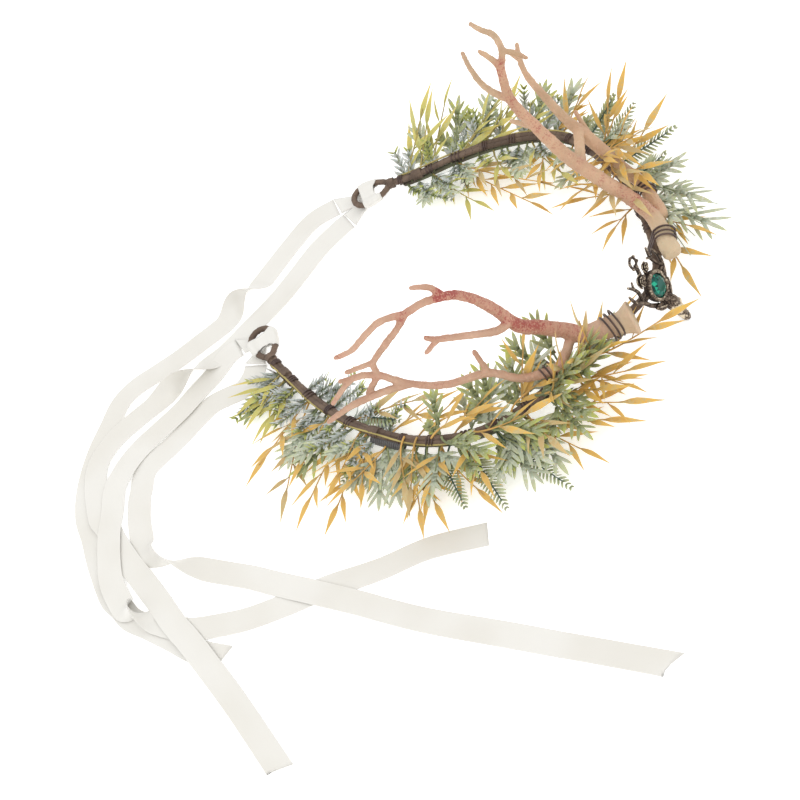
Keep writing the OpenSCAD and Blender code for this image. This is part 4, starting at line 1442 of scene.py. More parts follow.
@dataclass
class Garland:
    """Sprays of moulded leaves taped along one arm of the band."""

    node: str
    line: list[Vector]
    hand: int
    reach: float
    rows: dict[Spray, Sequence[Row]]
    seed: int
    fill: Sequence[tuple[Spray, int, Row, Row, Row, Row, float]] = ()
    lime_until: float = 50.0
    pale_from: float = 999.0
    tan_share: float = 0.25
    kick: float = 5.0
    coil_at: Optional[float] = None

    def __post_init__(self) -> None:
        """Sets the chance source and the empty beds."""
        self.chance = random.Random(self.seed)
        self.beds: dict[Finish, LeafBed] = {}
        self.twigs: dict[Finish, Shell] = {}

    def draw(self, low: float, high: float) -> float:
        """A chance value between two."""
        return self.chance.uniform(low, high)

    def bed(self, finish: Finish, shape: LeafShape) -> LeafBed:
        """The bed of a finish, made when first asked for."""
        return self.beds.setdefault(finish, LeafBed(shape))

    def twig_shell(self, finish: Finish) -> Shell:
        """The twigs of a finish, made when first asked for."""
        return self.twigs.setdefault(finish, Shell())

    def spine(self, row: Row) -> list[Vector]:
        """Curve of a twig in the row frame, from its root under the band to its tip."""
        s, side, rise, length = row[:4]
        at, t = walk(self.line, s)
        o = beside(t) * self.hand
        root = at - Vector((0, 0, STEM_DROP if len(row) < 5 else row[4]))
        a, e = math.radians(side), math.radians(rise)
        run = t * math.cos(a) + o * math.sin(a)
        tip = at + length * (run * math.cos(e) + Vector((0, 0, math.sin(e))))
        turn = root + o * self.kick * (-1 if side < 0 else 1) + run * self.kick * 0.4
        wave = Vector((self.draw(-1, 1), self.draw(-1, 1), self.draw(-0.4, 0.4)))
        out, steps, sway = [], 12, 0.02
        for k in range(steps + 1):
            u = k / steps
            p = root.lerp(turn, u).lerp(turn.lerp(tip, u), u)
            out.append(p + wave * math.sin(u * math.pi * 1.6) * length * sway)
        return to_row(out)

    def twig(self, spine: Sequence[Vector], finish: Finish, thick: float, until: float = 0.97) -> None:
        """Adds a twig that tapers along its spine."""
        keep = [p for k, p in enumerate(spine) if k / (len(spine) - 1) <= until]
        radii = [thick * MM * (1 - 0.55 * k / len(spine)) for k in range(len(keep))]
        self.twig_shell(finish).tube(keep, radii, sides=6)

    @staticmethod
    def at(spine: Sequence[Vector], share: float) -> tuple[Vector, Vector, Vector, Vector]:
        """Place, run, level side and face at a share of a spine."""
        x = min(max(share, 0.0), 0.999) * (len(spine) - 1)
        i = int(x)
        run = (spine[i + 1] - spine[i]).normalized()
        level = UP.cross(run).normalized()
        return spine[i].lerp(spine[i + 1], x - i), run, level, run.cross(level)

    def side_leaf(self, bed: LeafBed, spine: Sequence[Vector], share: float, side: float, rise: float,
                  length: float, width: float) -> None:
        """Adds a leaf at a share of a spine, turned sideways and lifted by angles in degrees."""
        place, run, level, face = self.at(spine, share)
        a, e = math.radians(side), math.radians(rise)
        way = (run * math.cos(a) + level * math.sin(a)) * math.cos(e) + face * math.sin(e)
        bed.plant(place, way, face, length, width)

    def tan_spray(self, row: Row) -> None:
        """Dried willow leaves."""
        self.willow_spray(row, True)

    def fringe(self, row: Row) -> None:
        """Fine hairs that fan from one root."""
        s, side, rise, length = row[:4]
        for k in range(7):
            spine = self.spine((s, side + 4 * k - 12, rise + self.draw(-5, 5),
                                length * self.draw(0.85, 1.1), *row[4:]))
            level = self.at(spine, 0.5)[2]
            bend = level * (k - 4.5) * 1.5 * MM
            last = len(spine) - 1
            self.twig([p + bend * (j / last) ** 2 for j, p in enumerate(spine)], HAIR, 0.42, 1.0)

    def willow_spray(self, row: Row, tan: bool = False) -> None:
        """Narrow pointed leaves that alternate along a fine twig."""
        lime = row[0] < self.lime_until and row[3] < 45
        tan = not lime and (tan or self.chance.random() < self.tan_share)
        leaves, stalk = (LIME, LIME_STALK) if lime else (TAN if tan else GOLD, GOLD_STALK)
        spine = self.spine(row)
        self.twig(spine, stalk, 0.5, 1.0)
        bed = self.bed(leaves, LeafShape.WILLOW)
        count = max(3, round(row[3] / 7.8))
        for i in range(count):
            u = i / count
            side = 1 if i % 2 else -1
            self.side_leaf(bed, spine, 0.3 + 0.62 * u, side * self.draw(22, 40),
                           self.draw(-12, 22), self.draw(15, 21) * (1 - 0.15 * u),
                           self.draw(2.2, 2.8))
        self.side_leaf(bed, spine, 0.88, 0, self.draw(-4, 8), 19.0, 2.7)

    def forked(self, bed: LeafBed, base: Vector, way: Vector, face: Vector, length: float) -> None:
        """Adds one deeply forked leaf of seven lobes."""
        level = face.cross(way).normalized()
        way = way.normalized()
        bend = face * -0.06
        bed.plant(base, way, face, length * 0.66, 2.5)
        bed.plant(base + way * length * 0.46 * MM, way + bend, face, length * 0.58, 2.4)
        for share, angle, size in ((0.14, 36, 0.46), (0.36, 33, 0.54), (0.6, 29, 0.42)):
            for side in (1, -1):
                a = math.radians(angle + self.draw(-6, 6)) * side
                to = way * math.cos(a) + level * math.sin(a) + face * self.draw(-0.1, 0.06)
                bed.plant(base + way * length * share * MM, to, face, length * size, 1.95)

    def pale_spray(self, row: Row) -> None:
        """Forked leaves of the dusty pale kind."""
        self.miller_spray(row, True)

    def miller_spray(self, row: Row, pale: bool = False) -> None:
        """Forked leaves on a stout twig; dusty pale ones if asked for or far along the arm."""
        pale = pale or row[0] >= self.pale_from or (row[1] < 0 and row[2] < 10) or self.chance.random() < 0.3
        leaves = PALE if pale else GREEN
        spine = self.spine(row)
        self.twig(spine, GREEN_STALK, 0.55, 0.8)
        bed = self.bed(leaves, LeafShape.LOBE)
        place, run, _, face = self.at(spine, 0.55)
        self.forked(bed, place, run, face, row[3] * 0.55 + 7)
        for share, side in ((0.28, 1), (0.42, -1)) if row[3] > 24 else ((0.3, 1),):
            place, run, level, face = self.at(spine, share)
            a = math.radians(self.draw(38, 52)) * side
            self.forked(bed, place, run * math.cos(a) + level * math.sin(a), face, min(row[3] * 0.6, 19))

    def juniper_spray(self, row: Row) -> None:
        """Scaly needles all along a twig."""
        spine = self.spine(row)
        self.twig(spine, GREEN_STALK, 0.6)
        silver, lime = self.bed(SILVER, LeafShape.NEEDLE), self.bed(SCALE, LeafShape.NEEDLE)
        count = max(6, round(row[3] / 1.8))
        fresh = 1 if self.chance.random() < 0.35 else 0.86
        for i in range(count):
            u = 0.2 + 0.8 * i / count
            bed = lime if u > fresh or (fresh == 1 and self.chance.random() < 0.5) else silver
            for side in (1, -1):
                self.side_leaf(bed, spine, u, side * self.draw(32, 52), self.draw(-8, 24),
                               self.draw(4.4, 6.4) * (1.1 - 0.35 * u), 1.2)
            if i % 2 == 0:
                self.side_leaf(bed, spine, u, self.draw(-15, 15), self.draw(24, 44), 3.8, 1.1)

    def fern_spray(self, row: Row) -> None:
        """A frond of paired leaflets on a dark stem."""
        spine = self.spine(row)
        self.twig(spine, FERN_STALK, 0.5)
        bed = self.bed(FERN, LeafShape.LEAFLET)
        length = row[3] * 0.62
        count = max(10, round(length / 1.3))
        for i in range(count):
            u = i / (count - 1)
            for side in (1, -1):
                self.side_leaf(bed, spine, 0.36 + 0.62 * u, side * (68 - 24 * u), -2,
                               5.8 * math.sin(math.radians(48 + 116 * u)), 1.15)

    def vine(self) -> list[Vector]:
        """An olive twig that winds along the band's outer side."""
        out, steps, away = [], 60, 2.1
        for k in range(steps + 1):
            at, t = walk(self.line, 5 + self.reach * 0.62 * k / steps)
            a = 0.35 + 0.5 * math.sin(k / 5)
            out.append(at + (beside(t) * self.hand * math.cos(a) + UP * math.sin(a)) * away)
        return out

    def coil(self) -> Object:
        """Dark wire coiled round the bundle of stems."""
        guide, steps, reach = [], 8, 15
        for k in range(steps + 1):
            at, t = walk(self.line, self.coil_at + reach * k / steps)
            guide.append(at + beside(t) * self.hand * 1.6 - Vector((0, 0, 2.6)))
        return grow(curve_of(self.node + "_coil", [to_row(guide)]), Tree.COIL, Turns=15.0, Across=2.0 * MM,
                    Up=1.9 * MM, Wire=0.5 * MM, Count=240, Material=COIL.make())

    def piece_name(self, finish: Finish) -> str:
        """Name of the piece that holds all of one finish."""
        return f"{self.node}_{finish.name.replace(' ', '_')}"

    def build(self, templates: dict[LeafShape, Object]) -> list[Object]:
        """Grows all sprays.

        Args:
            templates: the leaf of each shape.

        Returns:
            The finished pieces of this side.
        """
        kinds = {Spray.WILLOW: self.willow_spray, Spray.MILLER: self.miller_spray,
                 Spray.JUNIPER: self.juniper_spray, Spray.FERN: self.fern_spray, Spray.PALE: self.pale_spray,
                 Spray.TAN: self.tan_spray, Spray.FRINGE: self.fringe}
        for kind, rows in self.rows.items():
            for row in rows:
                kinds[kind](row)
        for kind, count, places, sides, rises, sizes, drop in self.fill:
            for k in range(count):
                s = places[0] + (places[1] - places[0]) * (k + self.draw(0.1, 0.9)) / count
                kinds[kind]((s, self.draw(*sides), self.draw(*rises), self.draw(*sizes), drop))
        start, steps = 7, 50
        stem = [walk(self.line, start + (self.reach - start) * k / steps)[0] - UP * STEM_DROP
                for k in range(steps + 1)]
        vine = self.vine()
        self.twig_shell(STEM).tube(to_row(stem), [1.05 * MM] * len(stem), sides=8)
        self.twig_shell(LIME_STALK).tube(to_row(vine), [0.42 * MM] * len(vine), sides=6)
        made: list[Object] = [] if self.coil_at is None else [self.coil()]
        for k, (finish, bed) in enumerate(sorted(self.beds.items(), key=lambda item: item[0].name)):
            made.append(bed.build(self.piece_name(finish), templates[bed.shape], finish, self.seed + k))
        for finish, shell in sorted(self.twigs.items(), key=lambda item: item[0].name):
            made.append(finish.lay_on(shell.build(self.piece_name(finish))))
        for piece in made:
            settle(piece, [self.node])
        return made


# ANTLERS

RIGHT_LIMBS = [
    [[-11, -72, 9, 6.5], [-13, -69, 9, 4.8], [-17, -63, 10, 4.3], [-22, -57, 13, 3.7],
     [-24, -51, 18, 3.3], [-29, -45, 27, 3], [-34, -41, 35, 2.8], [-36, -37, 48, 2.4],
     [-39, -34, 59, 2.1], [-44, -32, 69, 1.9], [-49, -31, 75, 1.8]],
    [[-49, -31, 75, 1.6], [-48, -26, 79, 1.3], [-50, -20, 81, 1]],
    [[-49, -31, 75, 1.7], [-53, -24, 76, 1.6], [-57, -17, 74, 1.6]],
    [[-57, -17, 74, 1.5], [-62, -8, 75, 1.4], [-69, -1, 72, 1.3], [-73, 2, 71, 1.2], [-76, 8, 70, 1]],
    [[-57, -17, 74, 1.5], [-62, -13, 70, 1.4], [-66, -8, 66, 1.4], [-70, -1, 59, 1.3], [-71, 0, 52, 1.3]],
    [[-70, -1, 59, 1.2], [-76, 8, 60, 1]],
    [[-35, -40, 40, 2], [-42, -38, 43, 1.7], [-49, -33, 50, 1.5], [-57, -24, 58, 1.3], [-60, -22, 63, 1]],
    [[-57, -24, 58, 1.2], [-62, -20, 56, 1]],
    [[-34, -50, 8, 2.4], [-40, -43, 10, 2], [-45, -36, 14, 1.7], [-49, -28, 23, 1.7], [-61, -18, 32, 1.6],
     [-68, -9, 42, 1.5], [-71, 0, 52, 1.5]],
    [[-49, -28, 23, 1.5], [-48, -27, 36, 1]],
    [[-71, 0, 52, 1.4], [-75, 9, 54, 1.3], [-84, 16, 50, 1]],
    [[-75, 9, 54, 1.2], [-79, 11, 58, 0.9]],
    [[-68, -9, 42, 1.5], [-75, -1, 46, 1.5], [-82, 10, 46, 1.4], [-89, 19, 44, 1]],
    [[-71, 0, 52, 1.3], [-76, 5, 46, 1.3]],
    [[-24, -53, 15, 2.2], [-30, -51, 11, 2], [-35, -49, 9, 2]]]
LEFT_LIMBS = [
    [[23, -79.5, 8, 4.2], [26, -77, 9, 3.9], [32, -73, 10, 3.6], [38, -67, 13, 3.2], [41, -58, 21, 3],
     [42, -50, 29, 3], [45, -38, 40, 2.9], [49, -28, 53, 2.5], [54, -19, 65, 2.1], [62, -16, 75, 1.8]],
    [[62, -16, 75, 1.6], [63, -13, 79, 1.3], [65, -8, 81, 1]],
    [[62, -16, 75, 1.6], [69, -15, 77, 1.5], [80, -6, 74, 1.4], [85, 3, 72, 1.2], [90, 10, 70, 1]],
    [[69, -15, 77, 1.4], [71, -19, 73, 1.2], [73, -21, 68, 0.9]],
    [[54, -19, 65, 1.6], [56, -12, 66, 1.5], [61, -4, 66, 1.4], [70, 5, 65, 1.2], [81, 14, 62, 1]],
    [[49, -28, 53, 1.5], [54, -14, 51, 1]],
    [[41, -70, 9, 3], [49, -63, 10, 2.9], [54, -58, 12, 2.8], [58, -50, 16, 2.8], [63, -41, 22, 2.8],
     [67, -33, 28, 2.7], [70, -26, 34, 2.2], [78, -15, 41, 1.8], [84, -8, 44, 1.5], [91, -3, 46, 1.3],
     [98, 0, 48, 1]],
    [[63, -40, 23, 1.6], [68, -35, 25, 1.4], [76, -28, 30, 1]],
    [[91, -3, 46, 1.2], [93, 2, 49, 0.9]],
    [[67, -32, 30, 2.2], [56, -37, 32, 2.2], [46, -42, 35, 2.2]]]


@dataclass
class AntlerPiece:
    """One moulded antler: limbs melted into each other, with a rough painted skin."""

    node: str
    limbs: Sequence[Sequence[Row]]
    root: Row
    red: float
    seed: float
    finish: Finish
    bare: float = 24.0
    burr: Sequence[tuple[float, float]] = ((0.5, 1.04), (0.5, 1.12), (0.4, 1.1), (0.3, 1.0), (0.05, 0.94))
    grain: float = 0.45
    skin: float = 0.24

    def build(self) -> Object:
        """Makes the antler."""
        shell = Shell()
        for k, rows in enumerate(self.limbs):
            line, radii = tapered(rows, 6)
            fine, sizes = to_row(line), [r * MM for r in radii]
            if k == 0:
                way = (fine[0] - fine[1]).normalized()
                burr = sizes[0]
                for reach, swell in self.burr:
                    fine.insert(0, fine[0] + way * reach * MM)
                    sizes.insert(0, burr * swell)
                shell.tube(fine, sizes, sides=16, round_ends=False)
                shell.ball(fine[-1], (sizes[-1],) * 3, None, 6, 10)
            else:
                shell.tube(fine, sizes, sides=12)
        made = shell.build(self.node + "_moulding")
        fused(made, self.grain * MM, 3)
        weather(made, self.skin * MM, 520.0, self.seed)
        self.colour(made)
        self.finish.lay_on(made)
        return settle(made, [self.node])

    def colour(self, made: Object) -> None:
        """Sets where the skin is red and where it is pale."""
        root = RING.row(self.root)
        main = to_row(smooth([Vector(r[:3]) for r in self.limbs[0][3:]], 3))
        forks = to_row([Vector(limb[0][:3]) for limb in self.limbs[1:]])
        tips = to_row([Vector(limb[-1][:3]) for limb in self.limbs])
        blush, pale = [], []
        lumps, beam, forked, tipped = 0.45, 0.8, 0.22, 0.35
        for v in made.data.vertices:
            far = (v.co - root).length / MM
            lump = noise.noise(v.co * 34 + Vector((self.seed, 0, 0)))
            top = ease(0.55 + 0.5 * v.normal.z)
            core = min((v.co - p).length for p in main) / MM
            fork = ease(1.2 - min((v.co - p).length for p in forks) / MM / 6)
            tip = ease(1.1 - min((v.co - p).length for p in tips) / MM / 7)
            patch = lumps * ease(0.3 + 1.5 * lump) + beam * ease((5.5 - core) / 3)
            patch += forked * fork + tipped * tip
            away = ease((far - 0.4 * self.bare) / 14)
            blush.append(clamped(self.red * (0.4 + 0.6 * top) * patch * away))
            pale.append(ease(1.2 - far / self.bare))
        for key, series in (("blush", blush), ("pale", pale)):
            mark(made, key, series)


# BROOCH

@dataclass
class Brooch:
    """Cast stag's head under an oval stone, with tines, roses and a ring flower."""

    place: Row = (6, -76.7, 3)
    lean: float = 14.0
    gem_at: Row = (0.8, 3.6, 1.6)
    gem_size: tuple[float, float] = (9.4, 10.4)
    spots: Sequence[tuple[Row, float]] = (((2.4, -9.6, 4.2), 3.0), ((1.9, -14.4, 2.6), 2.4))
    head: Sequence[Row] = ((0, -3.5, 1.4, 2.6), (0, -6.5, 2.6, 3.1), (0, -10, 3.4, 2.6), (0, -13.5, 3.6, 2),
                           (0, -16, 3.2, 1.9))
    skull: Sequence[tuple[Row, Row]] = (
        ((0, -6.2, 3.8), (2.6, 3.0, 2.3)), ((0, -11.5, 4.6), (1.5, 4.2, 1.5)),
        ((0, -16.6, 3.8), (1.9, 1.5, 1.7)), ((0, -17.6, 4.3), (1.2, 0.8, 0.8)))
    cheeks: Sequence[tuple[Row, Row]] = (
        ((1.9, -8.2, 4.9), (0.95, 1.3, 0.8)), ((1.0, -15.2, 4.9), (0.5, 0.8, 0.5)),
        ((1.5, -12.6, 3.2), (1.0, 2.6, 1.2)))
    tines: Sequence[Sequence[Row]] = (
        ((4, -3, 0.6, 1.1), (8, 0, 0.8, 1), (11.4, 3.4, 0.8, 0.9), (13, 7.6, 1, 0.8), (12, 12.8, 1.4, 0.5)),
        ((11.4, 3.4, 0.8, 0.8), (9.6, 8, 0.8, 0.8), (8.8, 12, 1, 0.7), (10, 16.4, 1.4, 0.5)),
        ((8.8, 12, 1, 0.7), (6.8, 14, 1.4, 0.45)),
        ((-4, -3, 0.6, 1.1), (-7.4, 1.6, 0.8, 1), (-9.6, 6.6, 0.8, 0.9), (-12.6, 11, 1, 0.8),
         (-13.6, 16, 1.4, 0.5)),
        ((-9.6, 6.6, 0.8, 0.8), (-8, 10.8, 0.8, 0.8), (-8.8, 14.6, 1, 0.7), (-11, 18.6, 1.4, 0.5)),
        ((-8.8, 14.6, 1, 0.6), (-7.6, 17.4, 1.3, 0.45)))
    roses: Sequence[Row] = ((-3.2, 12.4, 3.2), (3.4, 13, 2.3))
    struts: Sequence[Sequence[Row]] = (((-2, 12, 0.6), (-0.4, 15, 0.6), (0.1, 17.9, 0.8)),
                                       ((3.4, 13, 0.5), (2, 10, 0.4), (1.4, 8, 0.2)),
                                       ((-3.2, 12.4, 0.5), (-2, 9.6, 0.4), (-1, 8, 0.2)),
                                       ((-9, 6, 0.6), (-4, 5, 0.4)), ((10.4, 3.4, 0.6), (6, 4.3, 0.4)))

    def move(self) -> Matrix:
        """From the brooch's own face, in mm, to the row frame."""
        return (RING.matrix() @ Matrix.Translation(Vector(self.place))
                @ Matrix.Rotation(math.radians(90 - self.lean), 4, "X"))

    def oval(self, wide: float, high: float, out: float, count: int = 48, shift: float = 0.0) -> list[Vector]:
        """Points of an oval round the stone, the first of them shift steps on."""
        turns = [math.tau * (k + shift) / count for k in range(count)]
        return [Vector(self.gem_at) + Vector((wide / 2 * math.cos(a), high / 2 * math.sin(a), out))
                for a in turns]

    def rose(self, shell: Shell, row: Row) -> None:
        """Adds a rose of three rings of cupped petals."""
        x, y, r = row
        for count, share, size, out, tip in ((5, 0.62, 0.5, 0.9, 0.5), (5, 0.36, 0.38, 1.5, 0.8),
                                             (3, 0.16, 0.26, 1.9, 1.1)):
            for k in range(count):
                a = math.tau * (k + 0.37 * count) / count
                turn = Matrix.Rotation(a, 3, "Z") @ Matrix.Rotation(-tip, 3, "Y")
                centre = Vector((x + r * share * math.cos(a), y + r * share * math.sin(a), out))
                shell.ball(centre, (r * size, r * size * 0.9, 0.32), turn, 6, 10)
        shell.ball(Vector((x, y, 0.7)), (r * 0.8, r * 0.8, 0.8), None, 6, 10)

    def stag(self, shell: Shell) -> None:
        """Adds the stag's head: skull, muzzle, brows, ears and collar of fur."""
        shell.tube(*tapered(self.head, 5), 16)
        for centre, size in self.skull:
            shell.ball(Vector(centre), size)
        for s in (-1, 1):
            for (x, y, z), size in self.cheeks:
                shell.ball(Vector((s * x, y, z)), size)
            way = Vector((s * 7.1, 6.4, -0.4)).normalized()
            for k in range(7):
                u = k / 6
                wide = 1.75 * math.sin(math.pi * (0.12 + 0.8 * u)) + 0.2
                shell.ball(Vector((s * 1.8, -5.4, 2.4)) + way * 7.4 * u, (wide, wide, 0.75), None, 6, 10)
            rib = [Vector((s * 2.6, -4.8, 3.0)) + way * 6 * k / 4 for k in range(5)]
            shell.tube(rib, [0.4, 0.5, 0.5, 0.4, 0.25], 6)
        for k in range(9):
            a = math.radians(200 + 140 * k / 8)
            shell.ball(Vector((3.3 * math.cos(a), -4.0 + 1.6 * math.sin(a), 1.6)), (0.7, 1.5, 0.7),
                       Matrix.Rotation(a + math.pi / 2, 3, "Z"), 6, 8)

    def wear(self, cast: Object) -> None:
        """Marks where the casting is worn bright: ridges, high places and the bare spots of the head; it also
        paints a highlight on faces turned out of the brooch's face.
        """
        bent = [0.0] * len(cast.data.vertices)
        places = [(v.co.copy(), v.normal.copy()) for v in cast.data.vertices]
        for edge in cast.data.edges:
            a, b = edge.vertices
            way = (places[b][0] - places[a][0]).normalized()
            bent[a] -= way.dot(places[a][1])
            bent[b] += way.dot(places[b][1])
        worn = []
        for (place, normal), ridge in zip(places, bent):
            height = ease((place.z - 0.2) / 4.5)
            bump = noise.noise(place * 0.9)
            mirrored = Vector((abs(place.x), place.y, place.z))
            bare = max(ease(1.3 - (mirrored - Vector(spot)).length / size) for spot, size in self.spots)
            # Painted highlight: faces turned out of the brooch's face are made brighter
            lit = 0.22 * ease(normal.z) * (0.7 + bump)
            worn.append(clamped(0.1 + 0.2 * height + lit + 0.9 * ridge + 0.2 * bump + 0.95 * bare))
        mark(cast, "worn", worn)

    def build(self) -> list[Object]:
        """Makes the casting, its beads and the stone."""
        shell = Shell()
        self.stag(shell)
        for rows in self.tines:
            shell.tube(*tapered(rows, 6), 10)
        for rows in self.struts:
            fine = smooth([Vector(r) for r in rows], 5)
            shell.tube(fine, [0.9] * len(fine), 10)
        for row in self.roses:
            self.rose(shell, row)
        ring = [Vector((0.2 + 2.1 * math.cos(a), 20 + 2.3 * math.sin(a), 0.9))
                for a in (math.tau * k / 24 for k in range(25))]
        shell.tube(ring, [0.55] * 25, 8, round_ends=False)
        for k in range(6):
            a = math.tau * (k + 0.5) / 6
            petal = Vector((0.2 + 2.5 * math.cos(a), 20 + 2.7 * math.sin(a), 1.2))
            shell.ball(petal, (0.75, 0.75, 0.6), None, 6, 8)
        w, h = self.gem_size
        for grow_by, out, r in ((1.1, 0.9, 0.55), (1.9, 0.3, 0.7), (1.5, -0.6, 0.9), (0.9, -1.4, 1.0)):
            line = self.oval(w + grow_by, h + grow_by, out)
            shell.tube(line + [line[0], line[1]], [r] * (len(line) + 2), 10, round_ends=False)
        shell.ball(Vector(self.gem_at) + Vector((0, 0, -1.6)), (w / 2 + 0.6, h / 2 + 0.6, 0.8), None, 8, 24)
        cast = shell.build("brooch_casting")
        fused(cast, 0.17, 1)
        weather(cast, 0.05, 1.3, 3.0)
        self.wear(cast)
        cast.data.transform(self.move())
        BRONZE.lay_on(cast)
        settle(cast, ["brooch"])
        edge = [self.move() @ p for p in self.oval(w + 2.3, h + 2.3, 0.95)]
        beads = grow(curve_of("bezel_beads", [edge], closed=True), Tree.BEADS, Count=34, Bead=0.52 * MM,
                     Material=BRONZE.make())
        settle(beads, ["brooch"])
        return [cast, beads, self.stone()]

    def stone(self) -> Object:
        """Makes the faceted oval stone with a table, star, main and girdle facets."""
        w, h = self.gem_size[0] - 0.1, self.gem_size[1] - 0.1
        shell = Shell()
        rings = ((0.52, 2.35, 12, 0.0), (0.8, 1.75, 12, 0.5), (0.98, 0.85, 24, 0.0), (1.0, 0.5, 24, 0.0),
                 (0.4, -0.9, 24, 0.0))
        points: list[Vector] = []
        starts: list[int] = []
        for size, out, count, shift in rings:
            starts.append(len(points))
            points += self.oval(w * size, h * size, out, count, shift)
        faces: Faces = [tuple(range(12))]
        t, m, g = starts[:3]
        for k in range(12):
            faces.append((t + k, m + k, t + (k + 1) % 12))
            faces.append((t + (k + 1) % 12, m + k, m + (k + 1) % 12))
            faces.append((m + k, g + 2 * k, g + (2 * k + 1) % 24))
            faces.append((m + k, g + (2 * k + 1) % 24, g + (2 * k + 2) % 24))
            faces.append((m + k, g + (2 * k + 2) % 24, m + (k + 1) % 12))
        faces += lattice(3, 24, starts[2])
        faces.append(tuple(reversed(range(starts[4], starts[4] + 24))))
        shell.add(points, faces)
        made = shell.build("oval_stone", self.move(), polished=False)
        tidy_normals(made)
        # A random painted flash of light for each facet, which the stone's finish turns into tone
        chance = random.Random(7)
        corner = []
        for polygon in made.data.polygons:
            corner += [chance.random()] * polygon.loop_total
        mark(made, "flash", corner, "CORNER")
        STONE.lay_on(made)
        return settle(made, ["gem"])


# TIES AND HITCHES

@dataclass
class Tie:
    """Dark wire that binds an antler's limb to the band."""

    node: str
    line: list[Vector]
    at: float
    limb: Sequence[Row]
    limb_r: float
    hand: int
    stem: bool
    turns: float = 3.0
    pitch: float = 2.2
    wire: float = 0.42
    slack: float = 0.62
    steps: int = 30

    def build(self) -> Object:
        """Winds the wire tight round the band, the limb and the stem."""
        place, run = walk(self.line, self.at)
        out = beside(run) * self.hand
        held = self.crossing(place, run)
        circles = [(0.0, 0.0, 2.0 + self.slack),
                   ((held - place).dot(out), held.z - place.z, self.limb_r + self.slack)]
        if self.stem:
            circles.append((0.0, -STEM_DROP, 1.1 + self.slack))
        points: list[Vector] = []
        for k in range(round(self.turns * self.steps) + 1):
            a = math.radians(250 + 360 * k / self.steps)
            u = (math.cos(a), math.sin(a))
            _, x, y, r = max((c[0] * u[0] + c[1] * u[1] + c[2], c[0], c[1], c[2]) for c in circles)
            shift = self.pitch * (k / self.steps - self.turns / 2)
            points.append(place + run * shift + (x + u[0] * r) * out + Vector((0, 0, y + u[1] * r)))
        shell = Shell()
        line = smooth(points, 2)
        shell.tube(to_row(line), [self.wire * MM] * len(line), 8)
        made = shell.build(self.node + "_wire")
        LACQUER.lay_on(made)
        return settle(made, [self.node])

    def crossing(self, place: Vector, run: Vector) -> Vector:
        """Where the limb passes the plane across the band at this place."""
        rows = [Vector(r[:3]) for r in self.limb]
        for p, q in zip(rows, rows[1:]):
            a, b = (p - place).dot(run), (q - place).dot(run)
            if a * b <= 0:
                return p.lerp(q, a / (a - b))
        raise ValueError("the limb does not pass here")


